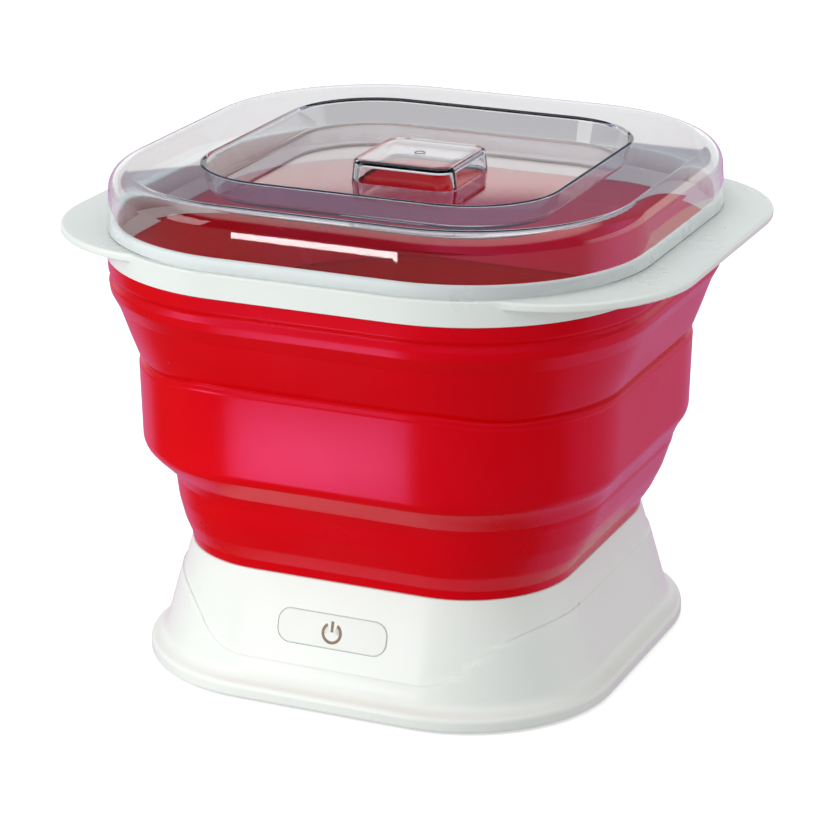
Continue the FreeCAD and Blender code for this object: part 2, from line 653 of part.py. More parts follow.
def transformer():
    length, width, height = TRANSFORMER_SIZE
    core = rounded_slab(length / 2, width / 2, 0.5, BOARD_TOP, BOARD_TOP + height)
    winding = rounded_slab(length / 2 - WINDING_INSET, width / 2 + WINDING_PROUD, WINDING_CORNER,
                           BOARD_TOP + WINDING_PROUD, BOARD_TOP + height - WINDING_PROUD)
    return lifted(fused([core, winding]).translated(V(TRANSFORMER_X, MAIN_BOARD_CENTRE_Y, 0)))


def relay():
    length, width, height = RELAY_SIZE
    x, y = RELAY_PLACE
    case = rounded_slab(length / 2, width / 2, 0.6, BOARD_TOP, BOARD_TOP + height)
    return lifted(case.translated(V(x, y + MAIN_BOARD_CENTRE_Y, 0)))


def filter_capacitor():
    x, y = CAPACITOR_PLACE
    can = disc(x, y + MAIN_BOARD_CENTRE_Y, BOARD_TOP, CAPACITOR_RADIUS, CAPACITOR_HEIGHT)
    top = BOARD_TOP + CAPACITOR_HEIGHT
    return lifted(can.makeFillet(0.8, [e for e in can.Edges if e.BoundBox.ZMin > top - 0.01]))


def switch_board():
    middle = (SWITCH_BOARD_LOW + SWITCH_BOARD_HIGH) / 2
    half = (SWITCH_BOARD_HIGH - SWITCH_BOARD_LOW) / 2
    board = rounded_slab(SWITCH_BOARD_HALF, half, 1.5, -BOARD_DEPTH - BOARD_THICKNESS, -BOARD_DEPTH)
    board = board.translated(V(0, middle, 0))
    for side in (1, -1):
        hole = disc(side * BOSS_SPREAD, 0, -BOARD_DEPTH - BOARD_THICKNESS - CUT_MARGIN,
                    SCREW_RADIUS + SCREW_PASS_GAP, BOARD_THICKNESS + 2 * CUT_MARGIN)
        board = board.cut(hole)
    return lifted(on_front(board))


def tact_switch():
    half = SWITCH_SIZE / 2
    case = box(-half, half, -half, half, -BOARD_DEPTH, -BOARD_DEPTH + SWITCH_HEIGHT)
    plunger = disc(0, 0, -BOARD_DEPTH + SWITCH_HEIGHT - 0.2, PLUNGER_RADIUS, PLUNGER_HEIGHT + 0.2)
    return lifted(on_front(fused([case, plunger])))


def inlet_socket():
    rear = wall_half(INLET_HEIGHT_ON_BASE) + SKIRT_PROUD
    body = inlet_block(0, rear - INLET_DEPTH, rear + 6)
    bezel = inlet_block(INLET_BEZEL, rear - 12, rear + 6)
    outside = filled([(BASE_FOOT_HALF + SKIRT_PROUD, FLARE_HEIGHT, 0),
                      (wall_half(STEP_HEIGHT) + SKIRT_PROUD, STEP_HEIGHT, 0)], FLARE_HEIGHT, STEP_HEIGHT)
    proud = filled([(BASE_FOOT_HALF + SKIRT_PROUD + INLET_PROUD, FLARE_HEIGHT, 0),
                    (wall_half(STEP_HEIGHT) + SKIRT_PROUD + INLET_PROUD, STEP_HEIGHT, 0)],
                   FLARE_HEIGHT, STEP_HEIGHT)
    body = fused([body.common(proud), bezel.common(proud).cut(outside)])
    cavity = inlet_block(-INLET_WALL, rear - INLET_DEPTH + INLET_FLOOR, rear + 8)
    for side in (1, -1):
        hole = Part.makeCylinder(PIN_RADIUS, 40, V(side * PIN_SPREAD, rear - INLET_DEPTH - 10,
                                                   INLET_HEIGHT_ON_BASE), V(0, 1, 0))
        body = body.cut(hole)
    return lifted(body.cut(cavity))


def inlet_pins():
    start = wall_half(INLET_HEIGHT_ON_BASE) + SKIRT_PROUD - INLET_DEPTH
    pins = []
    for side in (1, -1):
        pin = Part.makeCylinder(PIN_RADIUS, PIN_TAIL + INLET_FLOOR + PIN_LENGTH,
                                V(side * PIN_SPREAD, start - PIN_TAIL, INLET_HEIGHT_ON_BASE), V(0, 1, 0))
        tip_y = start + INLET_FLOOR + PIN_LENGTH
        pins.append(pin.makeFillet(0.5, [e for e in pin.Edges if e.BoundBox.YMin > tip_y - 0.01]))
    return lifted(Part.makeCompound(pins))


def lead(points, bend):
    """Insulated lead: straight runs joined by arcs of one bend radius."""
    edges = []
    start = V(*points[0])
    for i in range(1, len(points) - 1):
        here = V(*points[i])
        back = V(*points[i - 1]) - here
        ahead = V(*points[i + 1]) - here
        back.normalize()
        ahead.normalize()
        half = back.getAngle(ahead) / 2
        middle = back + ahead
        middle.normalize()
        reach = bend / math.tan(half)
        bow = bend / math.sin(half) - bend
        edges.append(Part.makeLine(start, here + back * reach))
        edges.append(Part.Arc(here + back * reach, here + middle * bow, here + ahead * reach).toShape())
        start = here + ahead * reach
    edges.append(Part.makeLine(start, V(*points[-1])))
    first = V(*points[1]) - V(*points[0])
    ring = Part.Wire(Part.makeCircle(LEAD_RADIUS, V(*points[0]), first))
    return Part.Wire(edges).makePipeShell([ring], True, False)


def wiring():
    """Leads from the inlet pins to the board, and from the board up to the heating element."""
    pin_end = wall_half(INLET_HEIGHT_ON_BASE) + SKIRT_PROUD - INLET_DEPTH - PIN_TAIL
    board_edge = MAIN_BOARD_CENTRE_Y + MAIN_BOARD_Y - LEAD_INSET
    leads = []
    for side in (1, -1):
        x = side * PIN_SPREAD
        leads.append(lead([(x, pin_end, INLET_HEIGHT_ON_BASE), (x, board_edge, INLET_HEIGHT_ON_BASE),
                           (x, board_edge, BOARD_TOP)], LEAD_BEND))
    return lifted(Part.makeCompound(leads))


# ================================================================ button
def power_button():
    cap = button_outline(0, -BUTTON_FLANGE_DEPTH, BUTTON_PROUD)
    cap = cap.makeFillet(BUTTON_EDGE, [e for e in cap.Edges if e.BoundBox.ZMin > BUTTON_PROUD - 0.01])
    flange = button_outline(BUTTON_FLANGE, -BUTTON_FLANGE_DEPTH - BUTTON_FLANGE_THICKNESS,
                            -BUTTON_FLANGE_DEPTH)
    stem = disc(0, 0, -STEM_TIP, BUTTON_STEM_RADIUS, BUTTON_STEM_LENGTH + FUSED_OVERLAP)
    body = fused([cap, flange, stem])
    return lifted(on_front(body.cut(icon_shape())))


def icon_shape():
    """Power symbol: a ring open at the top with a bar standing in the gap."""
    low = BUTTON_PROUD - ICON_SINK
    outer = disc(0, 0, low, ICON_RADIUS + ICON_LINE / 2, ICON_SINK)
    ring = outer.cut(disc(0, 0, low - 1, ICON_RADIUS - ICON_LINE / 2, 3))
    gap = Part.makePolygon([V(0, 0, low - 1), V(-ICON_RADIUS, 1.6 * ICON_RADIUS, low - 1),
                            V(ICON_RADIUS, 1.6 * ICON_RADIUS, low - 1), V(0, 0, low - 1)])
    ring = ring.cut(Part.Face(gap).extrude(V(0, 0, 3)))
    bar = box(-ICON_LINE / 2, ICON_LINE / 2, 0.1 * ICON_RADIUS, 1.25 * ICON_RADIUS,
              low, low + ICON_SINK)
    return Part.makeCompound([ring, bar]).translated(V(0, -ICON_DROP, 0))


def power_icon():
    return lifted(on_front(icon_shape()))


# ================================================================ silicone tub
def silicone(outer):
    """Wall of the tub from its outside corners, listed from the top down."""
    inner = [(half - TUB_WALL, height, radius) for half, height, radius in reversed(outer)]
    return lifted(carried_round(outer + inner))


def silicone_collar():
    tongue_outer = RIM_HALF - RIM_SKIRT_WALL - RIM_CLEARANCE
    tongue_inner = tongue_outer - TONGUE_THICKNESS
    tongue_top = UNDER_DECK - RIM_CLEARANCE
    under_skirt = SKIRT_BOTTOM - RIM_CLEARANCE
    foot = UPPER_FOLD_TOP + BODY_GAP
    drop = under_skirt - foot
    tongue = [(tongue_inner, tongue_top, 0), (tongue_outer, tongue_top, 0.4), (tongue_outer, under_skirt, 0)]
    outside = [(RIM_HALF - inset, under_skirt - share * drop, radius)
               for inset, share, radius in COLLAR_PROFILE]
    inside = [(tongue_inner - TONGUE_THICKNESS, under_skirt - COLLAR_INSIDE_SHARE * drop,
               COLLAR_INSIDE_RADIUS),
              (tongue_inner, RIM_RING_BOTTOM - COLLAR_INSIDE_DROP, COLLAR_INSIDE_RADIUS)]
    rim = [(COLLAR_FOOT_HALF, foot, 0), (COLLAR_FOOT_HALF - TUB_WALL, foot, 0)]
    return lifted(carried_round(tongue + outside + rim + inside))


def silicone_upper_fold():
    top_half = COLLAR_FOOT_HALF
    foot_half = BAND_HALF - BAND_EDGE_INSET
    belly = (top_half + foot_half) / 2 + UPPER_BELLY_PROUD
    belly_height = (UPPER_FOLD_TOP + UPPER_FOLD_BOTTOM) / 2 + UPPER_BELLY_RISE
    return silicone([(top_half, UPPER_FOLD_TOP, 0), (belly, belly_height, UPPER_BELLY_RADIUS),
                     (foot_half, UPPER_FOLD_BOTTOM, 0)])


def silicone_middle_band():
    foot = LOWER_FOLD_TOP + BODY_GAP
    return silicone([(BAND_HALF - BAND_EDGE_INSET, UPPER_FOLD_BOTTOM, 0),
                     (BAND_HALF, UPPER_FOLD_BOTTOM - BAND_EDGE_DROP, 1.0),
                     (BAND_HALF - BAND_SIDE_INSET, LOWER_FOLD_TOP + BAND_SIDE_RISE, 6),
                     (BAND_HALF - BAND_SHOULDER_INSET, LOWER_FOLD_TOP + BAND_SHOULDER_RISE, 2.0),
                     (LOWER_FOLD_HALF + BAND_FOOT_PROUD, foot, 0)])


def silicone_lower_fold():
    belly = LOWER_FOLD_HALF - LOWER_BELLY_SHARE * LOWER_FOLD_SPREAD
    return silicone([(LOWER_FOLD_HALF, LOWER_FOLD_TOP, 0),
                     (belly, NECK_TOP + LOWER_FOLD_HEIGHT / 2, LOWER_BELLY_RADIUS),
                     (NECK_HALF, NECK_TOP, 0)])


def silicone_neck():
    """Lip over the casing's deck, wall through its opening and flange under it."""
    lip = BASE_HEIGHT + RIM_CLEARANCE
    hang = BASE_HEIGHT - DECK_THICKNESS
    through = DECK_INNER_HALF - RIM_CLEARANCE
    corners = [(NECK_HALF, NECK_TOP, 0), (NECK_HALF - NECK_LIP_INSET, lip, 0.5), (through, lip, 0),
               (through, hang, 0), (CLAMP_OUTER_HALF, hang, 0), (CLAMP_OUTER_HALF, CLAMP_TOP, 0),
               (CLAMP_INNER_HALF, CLAMP_TOP, 0), (CLAMP_INNER_HALF, hang, 0),
               (LIP_INNER_HALF, hang, 0), (LIP_INNER_HALF, lip, 1.0), (NECK_HALF - TUB_WALL, NECK_TOP, 0)]
    body = carried_round(corners)
    for x, y in STUDS:
        body = body.cut(stud_hole(x, y, CLAMP_TOP, TUB_WALL))
    return lifted(body)


# ================================================================ rim
def rim_frame():
    skirt = carried_round([(RIM_HALF - RIM_SKIRT_WALL, SKIRT_BOTTOM, 0.5), (RIM_HALF, SKIRT_BOTTOM, 0.5),
                           (RIM_HALF + RIM_FLARE, DECK_TOP, 1.0), (UPSTAND_HALF, DECK_TOP, 0.4),
                           (UPSTAND_HALF, UPSTAND_TOP, 0.9), (UPSTAND_INNER_HALF, UPSTAND_TOP, 0.9),
                           (UPSTAND_INNER_HALF, UNDER_DECK, 0),
                           (RIM_HALF - RIM_SKIRT_WALL, UNDER_DECK, 0)])
    tabs = rounded_slab(RIM_HALF + TAB_REACH, RIM_HALF - TAB_SHOULDER, TAB_CORNER, UNDER_DECK, DECK_TOP)
    tabs = tabs.makeFillet(TAB_EDGE, [e for e in tabs.Edges if e.BoundBox.ZLength < 0.01])
    inside = square_slab(RIM_HALF - RIM_SKIRT_WALL + FUSED_OVERLAP,
                         UNDER_DECK - CUT_MARGIN, DECK_TOP + CUT_MARGIN)
    return lifted(fused([skirt, tabs.cut(inside)]))


def retaining_ring():
    inner = UPSTAND_INNER_HALF
    outer = inner + RIM_RING_WALL
    top = UNDER_DECK - RIM_CLEARANCE
    return lifted(carried_round([(inner, RIM_RING_BOTTOM, 0.5), (outer, RIM_RING_BOTTOM, 0.5),
                                 (outer, top, 0), (inner, top, 0)]))


# ================================================================ lid
def knob_shell(shrink, low):
    """Tapered block of the knob, shrunk by a wall for its hollow."""
    top = KNOB_TOP - shrink
    side = [(KNOB_HALF - shrink, low, 0), (KNOB_HALF - KNOB_DRAFT - shrink, top, KNOB_EDGE)]
    return filled(side, low, top, KNOB_CORNER_CENTRE)


def clear_lid():
    under = WELL_FLOOR - LID_WALL
    core_half = (CORNER_CENTRE + WELL_FLOOR_HALF) / 2
    shell = carried_round([(core_half, under, 0), (WELL_FLOOR_HALF + LID_WALL, under, WELL_UNDER_RADIUS),
                           (WELL_HALF + LID_WALL, LID_TOP - LID_WALL, 0.6),
                           (LID_HALF - LID_DRAFT - LID_WALL, LID_SHOULDER_TOP - LID_WALL,
                            LID_SHOULDER_RADIUS - LID_WALL),
                           (LID_HALF - LID_WALL, LID_LIP, 0.2), (LID_HALF, LID_LIP, LID_LIP_EDGE),
                           (LID_HALF - LID_DRAFT, LID_SHOULDER_TOP, LID_SHOULDER_RADIUS),
                           (WELL_HALF, LID_TOP, WELL_EDGE), (WELL_FLOOR_HALF, WELL_FLOOR, WELL_EDGE),
                           (core_half, WELL_FLOOR, 0)])
    floor = square_slab(core_half + FUSED_OVERLAP, under, WELL_FLOOR)
    body = fused([shell, floor, knob_shell(0, WELL_FLOOR - FUSED_OVERLAP)])
    body = body.cut(knob_shell(KNOB_WALL, under - CUT_MARGIN))
    mark = disc(0, 0, KNOB_TOP - FUSED_OVERLAP, GATE_RADIUS, FUSED_OVERLAP + GATE_HEIGHT)
    mark = mark.cut(disc(0, 0, KNOB_TOP - CUT_MARGIN, GATE_RADIUS - GATE_LINE, 3 * CUT_MARGIN))
    return lifted(fused([body, mark]))


NODES = {
    "base_casing": base_casing, "bottom_cover": bottom_cover, "rubber_feet": rubber_feet,
    "cover_screws": cover_screws, "clamp_ring": clamp_ring, "clamp_nuts": clamp_nuts,
    "heater_plate": heater_plate, "heating_element": heating_element,
    "insulation_pad": insulation_pad, "heat_shield": heat_shield, "thermistor": thermistor,
    "thermal_fuse": thermal_fuse, "main_board": main_board, "board_screws": board_screws,
    "transformer": transformer, "relay": relay, "filter_capacitor": filter_capacitor,
    "switch_board": switch_board, "tact_switch": tact_switch, "inlet_socket": inlet_socket,
    "inlet_pins": inlet_pins, "wiring": wiring, "power_button": power_button,
    "power_icon": power_icon, "silicone_neck": silicone_neck,
    "silicone_lower_fold": silicone_lower_fold, "silicone_middle_band": silicone_middle_band,
    "silicone_upper_fold": silicone_upper_fold, "silicone_collar": silicone_collar,
    "rim_frame": rim_frame, "retaining_ring": retaining_ring, "clear_lid": clear_lid,
}

os.makedirs("parts", exist_ok=True)
for name, build in NODES.items():
    shape = build()
    shape.exportStep("parts/" + name + ".step")
    print(name, len(shape.Solids), "solids", round(shape.Volume / 1000, 2), "cm3", shape.isValid())
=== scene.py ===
"""Collapsible yogurt maker: silicone tub, white base and rim, and a clear lid, in a plain studio.

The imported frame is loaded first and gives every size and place. Lengths in the code are metres.
"""
import math

import bmesh
import bpy
from bpy.props import FloatProperty, FloatVectorProperty, IntProperty, PointerProperty
from mathutils import Matrix, Vector


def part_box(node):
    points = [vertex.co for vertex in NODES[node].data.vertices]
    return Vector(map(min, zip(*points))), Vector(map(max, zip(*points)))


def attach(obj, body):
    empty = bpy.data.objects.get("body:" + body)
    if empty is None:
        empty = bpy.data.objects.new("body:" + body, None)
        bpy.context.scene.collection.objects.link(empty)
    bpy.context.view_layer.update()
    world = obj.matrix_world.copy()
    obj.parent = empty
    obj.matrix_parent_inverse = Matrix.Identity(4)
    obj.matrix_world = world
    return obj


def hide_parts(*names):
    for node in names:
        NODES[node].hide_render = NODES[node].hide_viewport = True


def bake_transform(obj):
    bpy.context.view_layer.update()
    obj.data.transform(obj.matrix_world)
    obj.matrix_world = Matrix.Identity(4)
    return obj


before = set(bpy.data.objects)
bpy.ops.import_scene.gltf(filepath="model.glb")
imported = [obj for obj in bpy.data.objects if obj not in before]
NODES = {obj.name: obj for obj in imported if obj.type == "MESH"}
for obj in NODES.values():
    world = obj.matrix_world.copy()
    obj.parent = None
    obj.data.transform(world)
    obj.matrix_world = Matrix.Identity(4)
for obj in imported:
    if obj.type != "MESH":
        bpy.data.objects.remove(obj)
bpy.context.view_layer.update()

bl_info = {
    "name": "Collapsible Yogurt Maker",
    "version": (1, 0, 0),
    "blender": (4, 5, 0),
    "location": "3D View > Sidebar > Yogurt Maker",
    "description": "Builds a collapsible yogurt maker and its studio around the packed frame",
    "category": "Add Mesh",
}

MM = 0.001
MERGE_DISTANCE = 0.005 * MM
QUARTER = math.pi / 2
EVEN_SHADING_WEIGHT = 80
RANGE_SOCKETS = ("From Min", "From Max", "To Min", "To Max")


# ================================================================ levels and widths from the frame
def top_of(node):
    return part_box(node)[1].z


def bottom_of(node):
    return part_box(node)[0].z


def half_of(node):
    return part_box(node)[1].x


DECK_LEVEL = top_of("base_casing")
NECK_TOP = bottom_of("silicone_lower_fold")
BAND_FOOT = top_of("silicone_lower_fold")
BAND_TOP = bottom_of("silicone_upper_fold")
CONE_TOP = top_of("silicone_upper_fold")
SKIRT_BOTTOM = bottom_of("rim_frame")
COLLAR_TOP = top_of("silicone_collar")
LID_LIP = bottom_of("clear_lid")
LID_TOP = top_of("clear_lid")

NECK_HALF = half_of("silicone_neck")
BAND_FOOT_HALF = half_of("silicone_lower_fold")
BAND_HALF = half_of("silicone_middle_band")
CONE_HALF = half_of("silicone_upper_fold")
COLLAR_HALF = half_of("silicone_collar")
LID_HALF = half_of("clear_lid")
RING_HALF = half_of("retaining_ring")

LID_CROWN = 1.7 * MM            # drop from the well's edge to the lid's shoulder
LID_DRAFT = 1.5 * MM
WELL_TAPER = 2.8 * MM
KNOB_CENTRE = 15 * MM           # the knob's corner arcs are centred here
KNOB_HEIGHT = 9 * MM
KNOB_WALL = 2.2 * MM
KNOB_DRAFT = 1 * MM
GATE_OUTER = 2.4 * MM
GATE_INNER = 1.7 * MM
GATE_RISE = 0.25 * MM
GATE_SINK = 0.2 * MM
GATE_EDGE = 0.1 * MM
BUTTON_OUTLINE = (24.0 * MM, 6.9 * MM, 5.6 * MM)    # half length, half width, corner radius
SKIRT_MARGIN = 0.28 * MM        # how far the plate reaches past the button's outline
SKIRT_THICKNESS = 0.5 * MM
SETTLE_PAST_CONE = 4 * MM       # the settling fades out this far over the upper web
SETTLE_OVER_FOOT = 22 * MM      # and this far over the band's foot
DIP_START = 24                  # degrees from the front or back where the dip begins
DIP_SPREAD = 18
DIP_DEPTH = 1.9                 # dip and rise together, as a share of the rise
LEAN_PEAK_DROP = 0.5 * MM
LEAN_FADE = 13 * MM
LEAN_CURVE = 0.9
BACKDROP_EDGE = (0.260, 0.268)  # sines of the heights where the bright backdrop ends
OVERHEAD_EDGE = (0.66, 0.80)    # and where the top light begins
HORIZON = (-0.06, 0.06)
THROUGH_GAIN = 1.2              # extra front light for rays that came through the lid
CAMERA_SHIFT = -0.0219


# ================================================================ sizes and colours a user may change
class YM_PG_shape(bpy.types.PropertyGroup):
    corner_centre: FloatProperty(
        name="Corner Centre", description="Distance of every corner arc's centre from the middle",
        default=38 * MM, unit="LENGTH")
    tub_wall: FloatProperty(
        name="Tub Wall", description="Thickness of the silicone", default=2.4 * MM, unit="LENGTH")
    tub_settle: FloatProperty(
        name="Tub Settle", description="How far the soft tub's crease rises at the front and dips elsewhere",
        default=1.5 * MM, unit="LENGTH")
    tub_sway: FloatProperty(
        name="Tub Sway", description="How far the soft tub's lower fold leans to the right",
        default=3.3 * MM, unit="LENGTH")
    lid_wall: FloatProperty(
        name="Lid Wall", description="Thickness of the clear lid", default=1.7 * MM, unit="LENGTH")
    well_half: FloatProperty(
        name="Well Half Width", description="Half width of the lid's sunken well at its top",
        default=74.6 * MM, unit="LENGTH")
    well_depth: FloatProperty(
        name="Well Depth", description="Depth of the lid's sunken well", default=11 * MM, unit="LENGTH")
    front_lean: FloatProperty(
        name="Front Lean", description="How far the base's front leans back",
        default=math.atan2(11.8, 41.8), subtype="ANGLE")
    button_reach: FloatProperty(
        name="Button Reach", description="Distance of the button from the middle",
        default=88.82 * MM, unit="LENGTH")
    button_height: FloatProperty(
        name="Button Height", description="Height of the button's middle", default=31.3 * MM,
        unit="LENGTH")
    button_gap: FloatProperty(
        name="Button Gap", description="Depth of the shadow line round the button", default=0.45 * MM,
        unit="LENGTH")
    knob_half: FloatProperty(
        name="Knob Half Width", description="Half width of the lid's knob at its foot",
        default=23.2 * MM, unit="LENGTH")
    corner_steps: IntProperty(
        name="Corner Steps", description="Faces round each corner", default=24, min=6)


class YM_PG_finish(bpy.types.PropertyGroup):
    silicone: FloatVectorProperty(
        name="Silicone", description="Colour of the tub", subtype="COLOR", size=3,
        default=(0.60, 0.0, 0.0))
    plastic: FloatVectorProperty(
        name="White Plastic", description="Colour of the base and the rim", subtype="COLOR", size=3,
        default=(0.735, 0.785, 0.75))
    clear_tint: FloatVectorProperty(
        name="Clear Tint", description="Tint of the clear lid", subtype="COLOR", size=3,
        default=(0.955, 0.962, 0.98))
    bronze: FloatVectorProperty(
        name="Icon Bronze", description="Colour of the power symbol", subtype="COLOR", size=3,
        default=(0.23, 0.15, 0.10))


class YM_PG_studio(bpy.types.PropertyGroup):
    azimuth: FloatProperty(
        name="Azimuth", description="Camera's turn to the right of the front",
        default=math.radians(23.52), subtype="ANGLE")
    elevation: FloatProperty(
        name="Elevation", description="Camera's height above the horizon",
        default=math.radians(19.05), subtype="ANGLE")
    distance: FloatProperty(
        name="Distance", description="Camera's distance from its target", default=1.337, unit="LENGTH")
    target_height: FloatProperty(
        name="Target Height", description="Height that the camera looks at", default=0.1015, unit="LENGTH")
    lens: FloatProperty(
        name="Lens", description="Focal length", default=136.2, subtype="DISTANCE_CAMERA")
    fill: FloatProperty(
        name="Fill", description="Strength of the white surroundings", default=1.0)
    shade: FloatProperty(
        name="Shade", description="Share of the fill that is left at the front right", default=0.92)
    front_reflection: FloatProperty(
        name="Front Reflection", description="Brightness in front of the object as reflections see it",
        default=0.06)
    floor_reflection: FloatProperty(
        name="Floor Reflection", description="Brightness of the floor as reflections see it", default=0.60)
    floor_glow: FloatProperty(
        name="Floor Glow", description="Light added to the floor as the camera sees it", default=0.42)
    floor_bounce: FloatProperty(
        name="Floor Bounce", description="Share of light that the floor throws back", default=0.6)
    key: FloatProperty(
        name="Key", description="Power of the softbox at the front left", default=1.75, subtype="POWER")
    front: FloatProperty(
        name="Front Card", description="Power of the card in front of the tub", default=0.085,
        subtype="POWER")
    strip: FloatProperty(
        name="Lid Strip", description="Power of the strip that shows in the lid", default=0.10,
        subtype="POWER")


# ================================================================ mesh helpers
def section(bm, corners, y, closed):
    """Wire through corners (half width, height, corner radius, segments) in the plane at y."""
    verts = [bm.verts.new((half, y, height)) for half, height, _radius, _segments in corners]
    pairs = list(zip(verts, verts[1:]))
    if closed:
        pairs.append((verts[-1], verts[0]))
    for first, second in pairs:
        bm.edges.new((first, second))
    places = [v.co.copy() for v in verts]
    count = len(corners)
    for i, (_half, _height, radius, segments) in enumerate(corners):
        if radius == 0:
            continue
        before = places[i - 1] - places[i]
        after = places[(i + 1) % count] - places[i]
        reach = radius / math.tan(before.angle(after) / 2)
        bmesh.ops.bevel(bm, geom=[verts[i]], offset=reach, offset_type="OFFSET", segments=segments,
                        profile=0.5, affect="VERTICES", material=-1, clamp_overlap=False)
    return list(bm.edges)


def split_long(bm, edges, longest):
    """Divide edges so that none is longer than a length."""
    for edge in list(edges):
        cuts = int(edge.calc_length() / longest)
        if cuts:
            bmesh.ops.subdivide_edges(bm, edges=[edge], cuts=cuts)
    return list(bm.edges)


def extruded(bm, wire, shift):
    """Extrude wire edges by a vector and give the new wire."""
    grown = bmesh.ops.extrude_edge_only(bm, edges=wire)["geom"]
    verts = [g for g in grown if isinstance(g, bmesh.types.BMVert)]
    bmesh.ops.translate(bm, vec=shift, verts=verts)
    fresh = set(verts)
    return [g for g in grown if isinstance(g, bmesh.types.BMEdge) and set(g.verts) <= fresh]


def carry_round(bm, wire, centre, corner_steps, side_steps=1):
    """Carry a wire, drawn at the start of the right-hand side, round a rounded square."""
    for quarter in range(4):
        turn = Matrix.Rotation(quarter * QUARTER, 3, "Z")
        for _step in range(side_steps):
            wire = extruded(bm, wire, turn @ Vector((0, 2 * centre / side_steps, 0)))
        ends = list({v for e in wire for v in e.verts})
        spun = bmesh.ops.spin(bm, geom=ends + wire, cent=turn @ Vector((centre, centre, 0)),
                              axis=(0, 0, 1), angle=QUARTER, steps=corner_steps)["geom_last"]
        wire = [g for g in spun if isinstance(g, bmesh.types.BMEdge)]
    bmesh.ops.remove_doubles(bm, verts=list(bm.verts), dist=MERGE_DISTANCE)


def finish_piece(bm, name, material, body=None, crease=32):
    """Close a bmesh into a smooth object of the scene with its finish, riding on a body if one is named."""
    bmesh.ops.remove_doubles(bm, verts=list(bm.verts), dist=MERGE_DISTANCE)
    bmesh.ops.recalc_face_normals(bm, faces=list(bm.faces))
    mesh = bpy.data.meshes.new(name)
    bm.to_mesh(mesh)
    bm.free()
    return dress(mesh, name, material, body, crease)


def dress(mesh, name, material, body, crease):
    """Smooth a mesh up to a crease angle and make it an object with its finish, slot and body."""
    mesh.shade_smooth()
    mesh.set_sharp_from_angle(angle=math.radians(crease))
    mesh.materials.clear()
    mesh.materials.append(material)
    piece = bpy.data.objects.new(name, mesh)
    bpy.context.scene.collection.objects.link(piece)
    weighted = piece.modifiers.new("Even Shading", "WEIGHTED_NORMAL")
    weighted.keep_sharp = True
    weighted.weight = EVEN_SHADING_WEIGHT
    if body:
        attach(piece, body)
    return piece


def merged_copy(node, name, material, body, crease=28):
    """Smooth-shaded copy of a frame node with its loose triangles merged."""
    bm = bmesh.new()
    bm.from_mesh(NODES[node].data)
    bmesh.ops.remove_doubles(bm, verts=list(bm.verts), dist=MERGE_DISTANCE)
    mesh = bpy.data.meshes.new(name)
    bm.to_mesh(mesh)
    bm.free()
    piece = dress(mesh, name, material, body, crease)
    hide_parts(node)


# ================================================================ material helpers
class Finish:
    """Node material with one Principled shader and short helpers for its patterns."""

    def __init__(self, name, colour, roughness, **sockets):
        self.material = bpy.data.materials.new(name)
        self.material.use_nodes = True
        self.nodes = self.material.node_tree.nodes
        self.links = self.material.node_tree.links
        self.shader = next(n for n in self.nodes if n.type == "BSDF_PRINCIPLED")
        self.output = next(n for n in self.nodes if n.type == "OUTPUT_MATERIAL")
        self.shader.inputs["Base Color"].default_value = (*colour, 1)
        self.shader.inputs["Roughness"].default_value = roughness
        for socket, value in sockets.items():
            self.shader.inputs[socket.replace("_", " ")].default_value = value
        self.place = self.nodes.new("ShaderNodeTexCoord").outputs["Object"]

    def noise(self, scale, detail, stretch=(1, 1, 1)):
        """Noise on object coordinates, as a value from 0 to 1."""
        mapping = self.nodes.new("ShaderNodeMapping")
        mapping.inputs["Scale"].default_value = stretch
        texture = self.nodes.new("ShaderNodeTexNoise")
        texture.inputs["Scale"].default_value = scale
        texture.inputs["Detail"].default_value = detail
        self.links.new(self.place, mapping.inputs["Vector"])
        self.links.new(mapping.outputs["Vector"], texture.inputs["Vector"])
        return texture.outputs["Fac"]

    def spread(self, value, low, high):
        """A noise value eased into a range."""
        node = self.nodes.new("ShaderNodeMapRange")
        node.interpolation_type = "SMOOTHERSTEP"
        for socket, number in zip(RANGE_SOCKETS, (0.2, 0.8, low, high)):
            node.inputs[socket].default_value = number
        self.links.new(value, node.inputs["Value"])
        return node.outputs["Result"]

    def vary_roughness(self, scale, low, high, stretch=(1, 1, 1)):
        self.links.new(self.spread(self.noise(scale, 4, stretch), low, high), self.shader.inputs["Roughness"])

    def vary_colour(self, scale, first, second, stretch=(1, 1, 1)):
        """Two close colours mixed by noise."""
        mix = self.nodes.new("ShaderNodeMix")
        mix.data_type = "RGBA"
        mix.inputs["A"].default_value = (*first, 1)
        mix.inputs["B"].default_value = (*second, 1)
        self.links.new(self.spread(self.noise(scale, 4, stretch), 0, 1), mix.inputs["Factor"])
        self.links.new(mix.outputs["Result"], self.shader.inputs["Base Color"])

    def bump(self, height, distance, strength=1.0):
        """Surface relief from a value, over a depth in metres."""
        node = self.nodes.new("ShaderNodeBump")
        node.inputs["Strength"].default_value = strength
        node.inputs["Distance"].default_value = distance
        self.links.new(height, node.inputs["Height"])
        self.links.new(node.outputs["Normal"], self.shader.inputs["Normal"])


def shade(colour, factor):
    return tuple(min(1.0, c * factor) for c in colour)


def moulded_plastic(name, colour, roughness, grain=0.012 * MM):
    """Moulded plastic: a fine satin grain and slow changes of gloss and tone."""
    made = Finish(name, colour, roughness, Specular_IOR_Level=0.5, IOR=1.5)
    made.vary_colour(18, shade(colour, 0.985), shade(colour, 1.01))
    made.vary_roughness(35, roughness - 0.04, roughness + 0.05)
    made.bump(made.noise(1400, 2), grain, 0.06)
    return made.material


